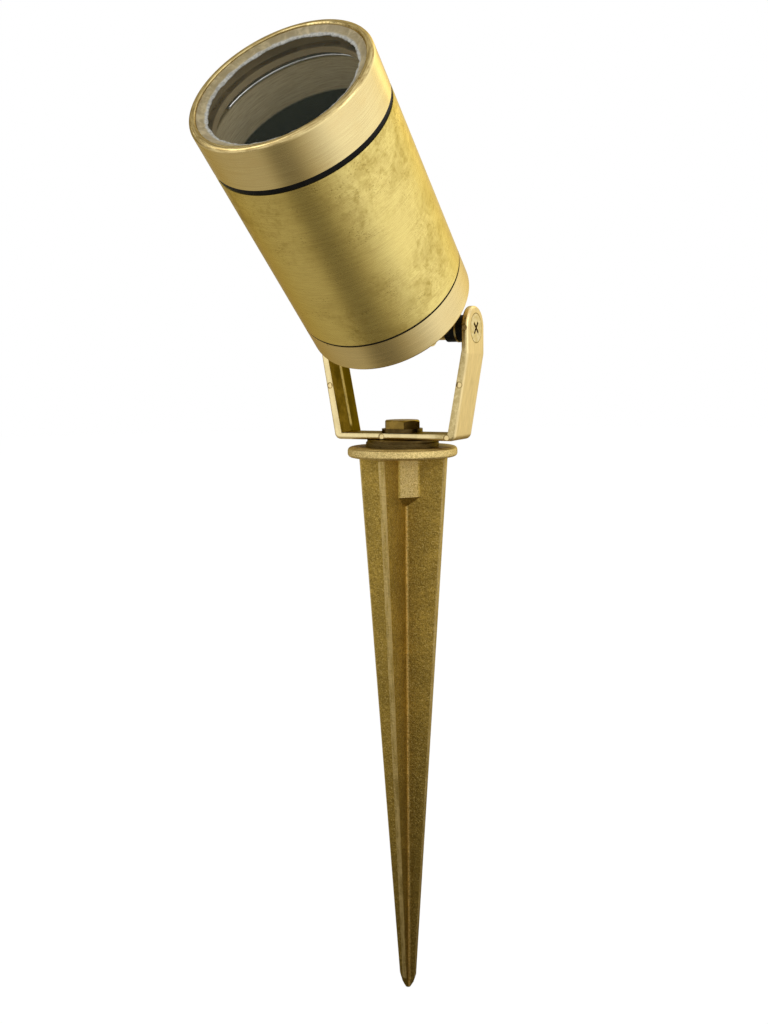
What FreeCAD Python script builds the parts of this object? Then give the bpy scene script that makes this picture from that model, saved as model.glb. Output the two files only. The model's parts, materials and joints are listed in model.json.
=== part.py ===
"""Garden spike spotlight, modelled in millimetres with +Z up.

The origin is the centre of the flange's underside, on the ground line: the spike runs down
from it and the yoke stands above it.  The head's pieces are drawn in the head's own frame,
with the pivot's centre as origin and the head's axis as local +Z, and are then tipped by
rest_tilt towards -Y about the pivot's X axis.
"""
import FreeCAD, Part
import math
import os
import re
import Sketcher

DOC = FreeCAD.newDocument("spike_spotlight")

# Driving dimensions: alias -> value in millimetres (degrees for the angles).
DIMENSIONS = {
    # pose and fits
    "rest_tilt": 49.0,            # head's axis from vertical, as photographed
    "pivot_height": 48.8,         # pivot axis above the flange's underside
    "fit": 0.05,                  # radial clearance of a thread or a turned fit
    "slip": 0.05,                 # clearance between faces that slide on each other
    "cone_clearance": 0.1,        # radial clearance of the screw heads in the ears
    # ground spike
    "flange_radius": 21.5,
    "flange_thickness": 4.0,
    "flange_rounding": 1.5,
    "pad_radius": 14.3,
    "pad_height": 2.0,
    "boss_reach": 10.6,           # corners of the square boss, on the blades
    "boss_foot": 2.6,             # the same at the foot of its slopes
    "boss_length": 15.5,
    "boss_cone": 6.0,             # length of the slopes under the boss
    "spike_length": 222.6,
    "blade_span": 18.7,           # half span across the blades at the flange
    "blade_edge": 1.25,           # half thickness of a blade's outer edge at the flange
    "blade_root": 2.8,            # half thickness of a blade at the spike's axis
    "blade_tip_span": 2.95,
    "blade_tip_edge": 0.85,
    "tip_rounding": 5.5,          # length of the rounded point
    # bolt stack between spike and yoke
    "bolt_radius": 4.0,
    "bolt_length": 20.0,
    "bolt_head_flats": 13.0,
    "bolt_head_height": 3.3,
    "tapped_depth": 19.0,         # tapped hole, from the pad's top
    "pan_hole_clearance": 0.25,   # radial clearance of the yoke's hole round the bolt
    "washer_radius": 8.0,
    "washer_thickness": 1.5,
    "swivel_washer_thickness": 0.75,
    # yoke
    "yoke_depth": 16.4,
    "yoke_foot": 25.6,            # half width outside at the underside
    "yoke_spread": 31.1,          # half width outside at the ears
    "yoke_bend": 9.5,             # how far below the pivot the arms turn upright
    "ear_wall": 3.3,
    "foot_wall": 3.9,
    "base_wall": 3.0,
    "draft_step": 0.55,           # how much thinner the casting is at its front and rear faces
    "yoke_corner": 2.5,
    "yoke_edge": 1.1,
    "spotface_depth": 0.4,
    "mark_radius": 1.1,
    "mark_depth": 0.25,
    # pivot
    "ring_radius": 5.0,
    "inner_ring_start": 19.8,     # where the pivot block's trunnions end
    "inner_ring_length": 4.2,
    "pivot_washer_thickness": 0.7,
    "pivot_washer_radius": 5.2,
    "trunnion_radius": 4.2,
    "pivot_screw_radius": 3.0,
    "pivot_screw_head": 5.3,
    "pivot_screw_length": 22.0,
    "recess_span": 5.6,
    "recess_width": 1.1,
    "recess_depth": 1.9,
    "block_half_width": 13.0,
    "block_radius": 6.5,
    "block_gasket_thickness": 0.8,
    "block_screw_radius": 2.0,
    "block_screw_spacing": 16.0,
    "block_screw_length": 12.0,
    "block_screw_head": 3.9,
    # rear cap
    "head_radius": 31.5,
    "cap_rear": 13.2,             # rear face of the cap, from the pivot
    "cap_front": 25.6,            # shoulder that the tube closes against
    "cap_floor": 5.0,
    "spigot_wall": 3.05,
    "cap_spigot": 8.0,
    "cap_rounding": 0.8,
    "cap_ring_thickness": 0.8,
    # tube
    "tube_front": 95.2,           # shoulder in front of which the neck starts
    "tube_wall": 3.0,
    "bezel_wall": 1.6,            # wall of the bezel's skirt outside the neck
    "neck_length": 7.8,
    "snap_groove_depth": 0.45,
    "snap_ring_height": 1.0,
    "snap_ring_setback": 0.9,     # from the neck's front edge
    "snap_ring_width": 2.2,
    "snap_ring_gap": 26.0,        # opening of the ring, in degrees
    # bezel and lens
    "bezel_gap": 2.0,             # black groove between tube and bezel
    "bezel_length": 15.1,
    "bezel_rounding": 1.3,
    "bezel_inside_rounding": 0.4,
    "ring_inset": 0.3,            # how far the black rings lie below the head's surface
    "lens_seat": 6.5,             # from the bezel's front down to the glass's rear face
    "lens_thickness": 4.0,
    "lens_clearance": 0.3,
    "rim_width": 2.5,             # the bezel's front rim
    "ledge_width": 3.2,
    "ledge_thickness": 2.0,
    "bead_width": 3.8,
    "bead_height": 1.9,
    "bead_lip": 0.5,
    # lamp carrier and wiring inside the head
    "post_radius": 3.0,
    "post_inset": 7.35,           # posts' axes inside the cap's cavity wall
    "post_length": 26.0,
    "post_stud": 3.2,
    "small_screw_radius": 1.5,
    "small_screw_head": 2.7,
    "small_screw_head_height": 1.6,
    "carrier_inset": 4.5,         # carrier's edge inside the tube's bore
    "carrier_thickness": 1.2,
    "carrier_slot_length": 13.0,
    "carrier_slot_width": 6.0,
    "holder_width": 18.0,
    "holder_depth": 10.0,
    "holder_height": 13.0,
    "holder_foot_width": 29.0,
    "holder_foot_height": 3.0,
    "holder_screw_spacing": 24.0,
    "pin_pitch": 5.33,
    "pin_bore": 0.85,
    "contact_wall": 0.45,
    "contact_length": 9.0,
    "lead_radius": 0.9,
    "lead_bend": 7.0,
    "terminal_width": 22.0,
    "terminal_depth": 8.0,
    "terminal_height": 9.0,
    "terminal_screw_spacing": 15.0,
    "clamp_screw_radius": 1.2,
    "clamp_screw_length": 2.4,
    # cable gland
    "gland_inset": 13.5,          # gland's axis inside the head's outside
    "gland_washer_thickness": 0.8,
    "gland_stud_radius": 6.0,
    "gland_flats": 14.0,
    "gland_hex_height": 4.0,
    "gland_neck_radius": 5.6,
    "gland_neck_length": 6.0,
    "gland_seal_radius": 4.3,
    "gland_seal_length": 6.2,
    "cord_bore": 3.3,             # for a cord 6.5 mm thick
    "dome_length": 10.0,
    "dome_lip": 1.6,
}


class Size:
    """A length that carries both its number and the spreadsheet formula that gives it."""

    def __init__(self, value, formula):
        self.value = value
        self.formula = formula

    @staticmethod
    def of(other):
        return other if isinstance(other, Size) else Size(other, repr(float(other)))

    def combine(self, other, sign, value, swapped=False):
        left, right = (Size.of(other), self) if swapped else (self, Size.of(other))
        return Size(value(left.value, right.value), f"({left.formula} {sign} {right.formula})")

    def __add__(self, other):
        return self.combine(other, "+", lambda a, b: a + b)

    def __radd__(self, other):
        return self.combine(other, "+", lambda a, b: a + b, swapped=True)

    def __sub__(self, other):
        return self.combine(other, "-", lambda a, b: a - b)

    def __rsub__(self, other):
        return self.combine(other, "-", lambda a, b: a - b, swapped=True)

    def __mul__(self, other):
        return self.combine(other, "*", lambda a, b: a * b)

    def __rmul__(self, other):
        return self.combine(other, "*", lambda a, b: a * b, swapped=True)

    def __truediv__(self, other):
        return self.combine(other, "/", lambda a, b: a / b)

    def __neg__(self):
        return 0.0 - self


class Sheet:
    """The spreadsheet of driving dimensions; reading an alias gives a Size."""

    def __init__(self, dimensions):
        self.object = DOC.addObject("Spreadsheet::Sheet", "Sizes")
        for row, (alias, value) in enumerate(dimensions.items(), start=1):
            self.object.set(f"A{row}", alias)
            self.object.set(f"B{row}", str(value))
            self.object.setAlias(f"B{row}", alias)
        self.object.recompute()

    def __getattr__(self, alias):
        return Size(float(self.object.get(alias)), f"Sizes.{alias}")


S = Sheet(DIMENSIONS)

SPOKES = [math.radians(angle) for angle in (0, 60, 120, 180, 240, 300)]
SIDES = {"left": -1, "right": 1}


# ---- sketches and features ---------------------------------------------------------------

def bind(target, path, size):
    """Binds a property to the formula of a Size."""
    target.setExpression(path, Size.of(size).formula)


def new_body(label, in_head=False):
    """An empty body; a head piece is tipped about the pivot's axis."""
    body = DOC.addObject("PartDesign::Body", label)
    body.Label = label
    if in_head:
        tilt = FreeCAD.Rotation(FreeCAD.Vector(1, 0, 0), S.rest_tilt.value)
        body.Placement = FreeCAD.Placement(FreeCAD.Vector(0, 0, S.pivot_height.value), tilt)
        bind(body, "Placement.Base.z", S.pivot_height)
        body.setExpression("Placement.Rotation.Angle", "Sizes.rest_tilt * 1deg")
    return body


def new_sketch(body, name, plane, offset=0):
    """A sketch on an origin plane of the body, moved along the plane's normal by offset."""
    sketch = body.newObject("Sketcher::SketchObject", f"{body.Name}_{name}")
    support = next(f for f in body.Origin.OriginFeatures if f.Role == plane)
    sketch.AttachmentSupport = [(support, "")]
    sketch.MapMode = "FlatFace"
    bind(sketch, "AttachmentOffset.Base.z", offset)
    return sketch


def fix_point(sketch, geometry, position, x, y):
    """Holds a point of the sketch at (x, y) from the sketch's origin."""
    for axis, kind, size in ((-2, "DistanceX", x), (-1, "DistanceY", y)):
        if not isinstance(size, Size) and size == 0:
            sketch.addConstraint(Sketcher.Constraint("PointOnObject", geometry, position, axis))
            continue
        size = Size.of(size)
        index = sketch.addConstraint(
            Sketcher.Constraint(kind, -1, 1, geometry, position, size.value))
        bind(sketch, f"Constraints[{index}]", size)


def arc_between(start, end, radius):
    """Arc from start to end; a positive radius bulges to the right of the way travelled."""
    chord = end - start
    rise = math.sqrt(max(radius ** 2 - (chord.Length / 2) ** 2, 0.0))
    left = FreeCAD.Vector(-chord.y, chord.x, 0).normalize()
    centre = (start + end) / 2 + left * math.copysign(rise, radius)
    first, last = (start, end) if radius > 0 else (end, start)
    circle = Part.Circle(centre, FreeCAD.Vector(0, 0, 1), abs(radius))
    return Part.ArcOfCircle(circle, circle.parameter(first), circle.parameter(last))


def draw(sketch, points, arcs=None, closed=True):
    """Lines through the points; arcs gives the radius of the steps that are round."""
    arcs = arcs or {}
    places = [FreeCAD.Vector(Size.of(x).value, Size.of(y).value, 0) for x, y in points]
    count = len(points) if closed else len(points) - 1
    ends = []
    for step in range(count):
        start, end = places[step], places[(step + 1) % len(places)]
        if step in arcs:
            radius = Size.of(arcs[step])
            index = sketch.addGeometry(arc_between(start, end, radius.value), False)
            ends.append((index, 1, 2) if radius.value > 0 else (index, 2, 1))
        else:
            index = sketch.addGeometry(Part.LineSegment(start, end), False)
            ends.append((index, 1, 2))
    for step in range(count if closed else count - 1):
        index, _, last = ends[step]
        following, first, _ = ends[(step + 1) % count]
        sketch.addConstraint(Sketcher.Constraint("Coincident", index, last, following, first))
    for step, (x, y) in enumerate(points):
        if step < count:
            fix_point(sketch, ends[step][0], ends[step][1], x, y)
        else:
            fix_point(sketch, ends[-1][0], ends[-1][2], x, y)
    for step, radius in arcs.items():
        size = Size.of(radius)
        constraint = Sketcher.Constraint("Radius", ends[step][0], abs(size.value))
        index = sketch.addConstraint(constraint)
        bind(sketch, f"Constraints[{index}]", size if size.value > 0 else -size)
    return sketch


def draw_circle(sketch, x, y, radius):
    """A circle of the given centre and radius."""
    centre = FreeCAD.Vector(Size.of(x).value, Size.of(y).value, 0)
    circle = Part.Circle(centre, FreeCAD.Vector(0, 0, 1), Size.of(radius).value)
    index = sketch.addGeometry(circle, False)
    fix_point(sketch, index, 3, x, y)
    bound = sketch.addConstraint(Sketcher.Constraint("Radius", index, Size.of(radius).value))
    bind(sketch, f"Constraints[{bound}]", radius)
    return sketch


def rectangle(x_centre, y_centre, width, height):
    """Corners of a rectangle, anticlockwise."""
    return [(x_centre - width / 2, y_centre - height / 2),
            (x_centre + width / 2, y_centre - height / 2),
            (x_centre + width / 2, y_centre + height / 2),
            (x_centre - width / 2, y_centre + height / 2)]


def hexagon(x, y, across_flats):
    """Corners of a hexagon with two of its corners along X."""
    corner = across_flats / math.sqrt(3)
    return [(x + corner * math.cos(spoke), y + corner * math.sin(spoke)) for spoke in SPOKES]


def extrude(body, kind, sketch, length, symmetric=False, reverse=False):
    """A Pad or Pocket of the sketch; symmetric spreads it to both sides of the plane."""
    feature = body.newObject(f"PartDesign::{kind}", f"{sketch.Name}_{kind}")
    feature.Profile = sketch
    bind(feature, "Length", length)
    feature.SideType = "Symmetric" if symmetric else "One side"
    feature.Reversed = reverse
    sketch.Visibility = False
    DOC.recompute()
    return feature


def turn(body, kind, sketch, axis="V_Axis", angle=360.0, midplane=False):
    """A Revolution or Groove of the sketch about one of its own axes."""
    feature = body.newObject(f"PartDesign::{kind}", f"{sketch.Name}_{kind}")
    feature.Profile = sketch
    feature.ReferenceAxis = (sketch, [axis])
    feature.Angle = angle
    feature.Midplane = midplane
    sketch.Visibility = False
    DOC.recompute()
    return feature


def turned(label, points, arcs=None, in_head=False):
    """A body turned about Z from its half section, given as (radius, height) points."""
    body = new_body(label, in_head)
    turn(body, "Revolution", draw(new_sketch(body, "section", "XZ_Plane"), points, arcs))
    return body


def bored(body, name, x, y, radius, start, length, plane="XY_Plane"):
    """A round hole that starts at height start and runs length along the plane's normal."""
    sketch = draw_circle(new_sketch(body, name, plane, start), x, y, radius)
    return extrude(body, "Pocket", sketch, length, reverse=True)


def edges_where(body, test):
    """Names of the edges of the body's last feature that pass the test."""
    edges = body.Tip.Shape.Edges
    return [f"Edge{number}" for number, edge in enumerate(edges, start=1)
            if not edge.Degenerated and test(edge)]


def soften(body, kind, test, size):
    """A Fillet or Chamfer on the edges that pass the test."""
    base = body.Tip
    names = edges_where(body, test)
    if not names:
        raise RuntimeError(f"{body.Label}: no edge to soften")
    feature = body.newObject(f"PartDesign::{kind}", f"{body.Name}_{kind}")
    feature.Base = (base, names)
    bind(feature, "Radius" if kind == "Fillet" else "Size", size)
    DOC.recompute()
    return feature


def ring_edge(radius, height):
    """Tests for a full circular edge about Z of that radius at that height."""
    def test(edge):
        curve = edge.Curve
        return (isinstance(curve, Part.Circle)
                and abs(curve.Radius - radius.value) < 0.01
                and abs(curve.Center.z - height.value) < 0.01
                and math.hypot(curve.Center.x, curve.Center.y) < 0.01)
    return test


def mirror_about_yz(body, features):
    """Repeats the features on the other side of the body's YZ plane."""
    feature = body.newObject("PartDesign::Mirrored", f"{body.Name}_mirrored")
    feature.Originals = features
    plane = next(f for f in body.Origin.OriginFeatures if f.Role == "YZ_Plane")
    feature.MirrorPlane = (plane, [""])
    body.Tip = feature
    DOC.recompute()
    return feature


# ---- shared levels -----------------------------------------------------------------------

PAD_TOP = S.flange_thickness + S.pad_height
YOKE_UNDERSIDE = PAD_TOP + S.swivel_washer_thickness + S.slip
BASE_FACE = YOKE_UNDERSIDE + S.base_wall - S.spotface_depth
WASHER_BOTTOM = BASE_FACE + S.slip
WASHER_TOP = WASHER_BOTTOM + S.washer_thickness
BOLT_CLEARANCE = S.bolt_radius + S.pan_hole_clearance

EAR_FACE = S.yoke_spread - S.ear_wall + S.spotface_depth
INNER_RING_END = S.inner_ring_start + S.inner_ring_length
PIVOT_WASHER_END = INNER_RING_END + S.pivot_washer_thickness
SCREW_TIP = S.yoke_spread - S.pivot_screw_length

TUBE_BORE = S.head_radius - S.tube_wall
NECK_RADIUS = S.head_radius - S.bezel_wall
RING_RADIUS = S.head_radius - S.ring_inset
LENS_POCKET = S.head_radius - S.rim_width
LEDGE_BORE = LENS_POCKET - S.ledge_width
BEAD_BORE = LENS_POCKET - S.bead_width
CAP_CAVITY = TUBE_BORE - S.fit - S.spigot_wall
POST_SPACING = 2 * (CAP_CAVITY - S.post_inset)
CARRIER_RADIUS = TUBE_BORE - S.carrier_inset
TERMINAL_SETBACK = 2 * S.lead_bend
GLAND_OFFSET = S.head_radius - S.gland_inset

CAP_FLOOR = S.cap_rear + S.cap_floor
BLOCK_TOP = S.cap_rear - S.block_gasket_thickness
TUBE_REAR = S.cap_front + S.cap_ring_thickness
NECK_FRONT = S.tube_front + S.neck_length
SNAP_FRONT = NECK_FRONT - S.snap_ring_setback
SNAP_REAR = SNAP_FRONT - S.snap_ring_height
BEZEL_REAR = S.tube_front + S.bezel_gap
BEZEL_FRONT = BEZEL_REAR + S.bezel_length
LENS_REAR = BEZEL_FRONT - S.lens_seat
LENS_FRONT = LENS_REAR + S.lens_thickness

CARRIER_REAR = CAP_FLOOR + S.post_length
CARRIER_FRONT = CARRIER_REAR + S.carrier_thickness
HOLDER_FRONT = CARRIER_FRONT + S.holder_height
HOLDER_FOOT = CARRIER_FRONT + S.holder_foot_height
TERMINAL_TOP = CAP_FLOOR + S.terminal_height
GLAND_SEAT = S.cap_rear - S.gland_washer_thickness
GLAND_HEX_END = GLAND_SEAT - S.gland_hex_height


# ---- ground spike and its bolt -----------------------------------------------------------

def blade_section(sketch, span, edge, root):
    """Four blades crossing on the axis, each drafted from its root to its outer edge."""
    points = []
    for quarter in range(4):
        sine, cosine = (0, 1, 0, -1)[quarter], (1, 0, -1, 0)[quarter]
        for along, across in ((span, -edge), (span, edge), (root, root)):
            points.append((along * cosine - across * sine, along * sine + across * cosine))
    return draw(sketch, points)


def diamond(body, label, height, reach):
    """A square with its corners on the blades."""
    return draw(new_sketch(body, label, "XY_Plane", height),
                [(reach, 0), (0, reach), (-reach, 0), (0, -reach)])


def make_ground_spike():
    """Cast flange, pad and boss over a cross of four tapering blades."""
    body = new_body("ground_spike")
    top = new_sketch(body, "blades_top", "XY_Plane")
    tip = new_sketch(body, "blades_tip", "XY_Plane", -S.spike_length)
    blade_section(top, S.blade_span, S.blade_edge, S.blade_root)
    blade_section(tip, S.blade_tip_span, S.blade_tip_edge, S.blade_tip_edge)
    blades = body.newObject("PartDesign::AdditiveLoft", "ground_spike_blades")
    blades.Profile = top
    blades.Sections = [(tip, [""])]
    blades.Ruled = True
    DOC.recompute()
    # The point: two cones take the corners off the blades' ends.
    end = -S.spike_length
    outside = 2 * S.blade_tip_span
    nose = draw(new_sketch(body, "nose", "XZ_Plane"), [
        (S.blade_tip_span * 0.35, end),
        (S.blade_tip_span * 0.35, end - 1.0),
        (outside, end - 1.0),
        (outside, end + S.tip_rounding),
        (S.blade_tip_span * 1.15, end + S.tip_rounding),
        (S.blade_tip_span * 0.8, end + S.tip_rounding * 0.4),
    ])
    turn(body, "Groove", nose)
    crown = draw(new_sketch(body, "crown", "XZ_Plane"), [
        (0, PAD_TOP),
        (S.pad_radius, PAD_TOP),
        (S.pad_radius, S.flange_thickness),
        (S.flange_radius, S.flange_thickness),
        (S.flange_radius, 0),
        (0, 0),
    ])
    turn(body, "Revolution", crown)
    # The boss: a square block with its corners on the blades, sloped in below.
    steps = [diamond(body, "boss_top", 0, S.boss_reach),
             diamond(body, "boss_bottom", -S.boss_length, S.boss_reach),
             diamond(body, "boss_foot", -S.boss_length - S.boss_cone, S.boss_foot)]
    boss = body.newObject("PartDesign::AdditiveLoft", "ground_spike_boss")
    boss.Profile = steps[0]
    boss.Sections = [(step, [""]) for step in steps[1:]]
    boss.Ruled = True
    DOC.recompute()
    for height in (Size(0.0, "0"), S.flange_thickness):
        soften(body, "Fillet", ring_edge(S.flange_radius, height), S.flange_rounding)
    soften(body, "Fillet", ring_edge(S.pad_radius, PAD_TOP), S.flange_rounding / 3)
    bored(body, "tapped_hole", 0, 0, S.bolt_radius + S.fit, PAD_TOP - S.tapped_depth,
          S.tapped_depth + 1.0)
    return body


def make_yoke_bolt():
    """Hexagon bolt that holds the yoke on the spike and is the axis that it pans on."""
    body = turned("yoke_bolt", [
        (0, WASHER_TOP),
        (S.bolt_radius, WASHER_TOP),
        (S.bolt_radius, WASHER_TOP - S.bolt_length + 0.8),
        (S.bolt_radius - 0.8, WASHER_TOP - S.bolt_length),
        (0, WASHER_TOP - S.bolt_length),
    ])
    head = draw(new_sketch(body, "head", "XY_Plane", WASHER_TOP),
                hexagon(0, 0, S.bolt_head_flats))
    extrude(body, "Pad", head, S.bolt_head_height)
    # The head's corners are turned off at 30 degrees.
    corner = S.bolt_head_flats / math.sqrt(3)
    top = WASHER_TOP + S.bolt_head_height
    bevel = draw(new_sketch(body, "bevel", "XZ_Plane"), [
        (S.bolt_head_flats * 0.48, top + 0.01),
        (corner + 1.0, top + 0.01),
        (corner + 1.0, top - (corner + 1.0 - S.bolt_head_flats * 0.48) * 0.577),
    ])
    turn(body, "Groove", bevel)
    return body


def flat_ring(label, bore, radius, bottom, top, in_head=False):
    """A flat ring about Z between two heights."""
    return turned(label, [(bore, bottom), (radius, bottom), (radius, top), (bore, top)],
                  in_head=in_head)


def make_bolt_washers():
    """Brass washer under the bolt's head, and the soft washer that the yoke turns on."""
    flat_ring("yoke_bolt_washer", S.bolt_radius + S.fit, S.washer_radius,
              WASHER_BOTTOM, WASHER_TOP)
    flat_ring("swivel_washer", S.bolt_radius + S.fit, S.pad_radius - S.flange_rounding / 3,
              PAD_TOP, PAD_TOP + S.swivel_washer_thickness)


# ---- yoke --------------------------------------------------------------------------------

def yoke_outline(sketch, draft):
    """The U seen from the front, with its inner faces set back by draft."""
    underside = YOKE_UNDERSIDE - S.pivot_height
    base_top = underside + S.base_wall - draft
    slope = (S.yoke_spread - S.yoke_foot) / (-S.yoke_bend - underside)
    inner_foot = S.yoke_foot + slope * S.base_wall - S.foot_wall + draft
    inner_spread = S.yoke_spread - S.ear_wall + draft
    ear_top = S.yoke_depth / 2
    half = [
        (S.yoke_foot, underside),
        (S.yoke_spread, -S.yoke_bend),
        (S.yoke_spread, ear_top),
        (inner_spread, ear_top),
        (inner_spread, -S.yoke_bend),
        (inner_foot, base_top),
    ]
    return draw(sketch, half + [(-x, z) for x, z in reversed(half)])


def along_y(edge):
    """Tests for a straight edge along Y."""
    step = edge.Vertexes[-1].Point - edge.Vertexes[0].Point
    return abs(step.y) > 0.01 and abs(abs(step.y) - edge.Length) < 0.001


def make_yoke():
    """Cast U bracket with its parting ridge at mid depth; local origin at the pivot."""
    body = new_body("yoke_bracket")
    body.Placement.Base = FreeCAD.Vector(0, 0, S.pivot_height.value)
    bind(body, "Placement.Base.z", S.pivot_height)
    middle = yoke_outline(new_sketch(body, "middle", "XZ_Plane"), Size(0.0, "0"))
    front = new_sketch(body, "front", "XZ_Plane", S.yoke_depth / 2)
    yoke_outline(front, S.draft_step)
    loft = body.newObject("PartDesign::AdditiveLoft", "yoke_bracket_front_half")
    loft.Profile = middle
    loft.Sections = [(front, [""])]
    loft.Ruled = True
    DOC.recompute()
    halves = body.newObject("PartDesign::Mirrored", "yoke_bracket_halves")
    halves.Originals = [loft]
    plane = next(f for f in body.Origin.OriginFeatures if f.Role == "XZ_Plane")
    halves.MirrorPlane = (plane, [""])
    body.Tip = halves
    DOC.recompute()
    underside = YOKE_UNDERSIDE.value - S.pivot_height.value

    def foot_corner(edge):
        return along_y(edge) and all(abs(v.Z - underside) < 0.01 for v in edge.Vertexes)
    soften(body, "Fillet", foot_corner, S.yoke_corner)
    # The ears' tops are rounded about the pivot's axis.
    ear_radius = S.yoke_depth / 2
    rounding = draw(new_sketch(body, "ear_tops", "XZ_Plane"), [
        (-S.yoke_spread - 1.0, ear_radius), (S.yoke_spread + 1.0, ear_radius),
        (S.yoke_spread + 1.0, ear_radius * 1.5), (-S.yoke_spread - 1.0, ear_radius * 1.5)])
    turn(body, "Groove", rounding, axis="H_Axis", angle=180.0, midplane=True)

    def outer_rim(edge):
        return all(abs(v.X) > S.yoke_foot.value - 0.01 and
                   abs(abs(v.Y) - ear_radius.value) < 0.01 for v in edge.Vertexes) and \
            all(v.Z < 0.01 for v in edge.Vertexes)
    soften(body, "Fillet", outer_rim, S.yoke_edge)
    # Countersunk pivot holes with a spot face on the inside of each ear.
    cone_foot = S.pivot_screw_radius + S.cone_clearance
    cone_mouth = S.pivot_screw_head + S.cone_clearance
    spot = S.ring_radius + 0.5
    for side, sign in SIDES.items():
        outline = [
            (S.yoke_spread + 1.0, 0), (S.yoke_spread + 1.0, cone_mouth),
            (S.yoke_spread, cone_mouth),
            (S.yoke_spread - (cone_mouth - cone_foot), cone_foot),
            (EAR_FACE, cone_foot), (EAR_FACE, spot),
            (EAR_FACE - 2.0, spot), (EAR_FACE - 2.0, 0),
        ]
        sketch = new_sketch(body, f"{side}_pivot_hole", "XZ_Plane")
        draw(sketch, [(x * sign, z) for x, z in outline])
        turn(body, "Groove", sketch, axis="H_Axis")
    # The hole for the pan bolt, with a spot face for its washer.
    base_face = BASE_FACE - S.pivot_height
    hole = draw(new_sketch(body, "pan_hole", "XZ_Plane"), [
        (0, underside - 1.0), (BOLT_CLEARANCE, underside - 1.0),
        (BOLT_CLEARANCE, base_face), (S.washer_radius + 0.5, base_face),
        (S.washer_radius + 0.5, base_face + 2.0), (0, base_face + 2.0)])
    turn(body, "Groove", hole)
    add_pin_marks(body, ear_radius)
    return body


def add_pin_marks(body, face):
    """Round ejector marks on the bracket's front face: two on each arm, two on the base."""
    arm_mid = S.yoke_spread - S.ear_wall / 2
    lower_height = -S.pivot_height * 0.43
    lean = (S.yoke_spread - S.yoke_foot) / (S.pivot_height - S.yoke_bend - YOKE_UNDERSIDE)
    lower_mid = arm_mid + (lower_height + S.yoke_bend) * lean
    base_mid = YOKE_UNDERSIDE - S.pivot_height + (S.base_wall - S.draft_step) / 2
    places = [(arm_mid * sign, Size(0.0, "0")) for sign in SIDES.values()]
    places += [(lower_mid * sign, lower_height) for sign in SIDES.values()]
    places += [(S.yoke_foot * share, base_mid) for share in (-0.2, 0.87)]
    for number, (x, z) in enumerate(places):
        mark = new_sketch(body, f"mark_{number}", "XZ_Plane", face)
        draw_circle(mark, x, z, S.mark_radius)
        extrude(body, "Pocket", mark, S.mark_depth)


# ---- pivot -------------------------------------------------------------------------------

def cross_ring(label, bore, radius, start, end, sign):
    """A flat ring about the pivot's X axis, on one side of the head."""
    body = new_body(label, in_head=True)
    sketch = draw(new_sketch(body, "section", "XZ_Plane"), [
        (start * sign, bore), (end * sign, bore), (end * sign, radius), (start * sign, radius)])
    turn(body, "Revolution", sketch, axis="H_Axis")
    return body


def make_pivot_rings():
    """On each side: a black ring, a thin brass washer and a second black ring."""
    bore = S.pivot_screw_radius + S.fit
    for side, sign in SIDES.items():
        cross_ring(f"pivot_inner_ring_{side}", bore, S.ring_radius,
                   S.inner_ring_start, INNER_RING_END, sign)
        cross_ring(f"pivot_washer_{side}", bore, S.pivot_washer_radius,
                   INNER_RING_END, PIVOT_WASHER_END, sign)
        cross_ring(f"pivot_outer_ring_{side}", bore, S.ring_radius,
                   PIVOT_WASHER_END, EAR_FACE - S.slip, sign)


def make_pivot_block():
    """Block on the rear cap with a trunnion on each side, tapped for the pivot screws."""
    body = new_body("pivot_block", in_head=True)
    core = draw(new_sketch(body, "core", "YZ_Plane"), [
        (S.block_radius, BLOCK_TOP), (-S.block_radius, BLOCK_TOP),
        (-S.block_radius, 0), (0, -S.block_radius), (S.block_radius, 0)],
        arcs={2: S.block_radius, 3: S.block_radius})
    extrude(body, "Pad", core, S.block_half_width * 2, symmetric=True)
    trunnions = draw_circle(new_sketch(body, "trunnions", "YZ_Plane"), 0, 0, S.trunnion_radius)
    extrude(body, "Pad", trunnions, S.inner_ring_start * 2, symmetric=True)
    bore = draw_circle(new_sketch(body, "pivot_bore", "YZ_Plane"), 0, 0,
                       S.pivot_screw_radius + S.fit)
    extrude(body, "Pocket", bore, S.inner_ring_start * 2 + 2.0, symmetric=True)
    depth = S.block_screw_length - S.cap_floor - S.block_gasket_thickness + 0.5
    for side, sign in SIDES.items():
        bored(body, f"{side}_screw_hole", S.block_screw_spacing / 2 * sign, 0,
              S.block_screw_radius + S.fit, BLOCK_TOP - depth, depth + 1.0)
    return body


def make_block_gasket():
    """Flat gasket between the pivot block and the rear cap."""
    body = new_body("pivot_block_gasket", in_head=True)
    outline = draw(new_sketch(body, "outline", "XY_Plane", BLOCK_TOP),
                   rectangle(0, 0, S.block_half_width * 2, S.block_radius * 2))
    for sign in SIDES.values():
        draw_circle(outline, S.block_screw_spacing / 2 * sign, 0, S.block_screw_radius + S.fit)
    extrude(body, "Pad", outline, S.block_gasket_thickness)
    return body


def cut_cross_recess(body, plane, x, y, face, depth, reverse):
    """A cross recess in a screw's head: two crossed slots from the face."""
    cuts = []
    for name, width, height in (("wide", S.recess_span, S.recess_width),
                                ("tall", S.recess_width, S.recess_span)):
        sketch = draw(new_sketch(body, f"recess_{name}", plane, face),
                      rectangle(x, y, width, height))
        cuts.append(extrude(body, "Pocket", sketch, depth, reverse=reverse))
    return cuts


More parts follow.
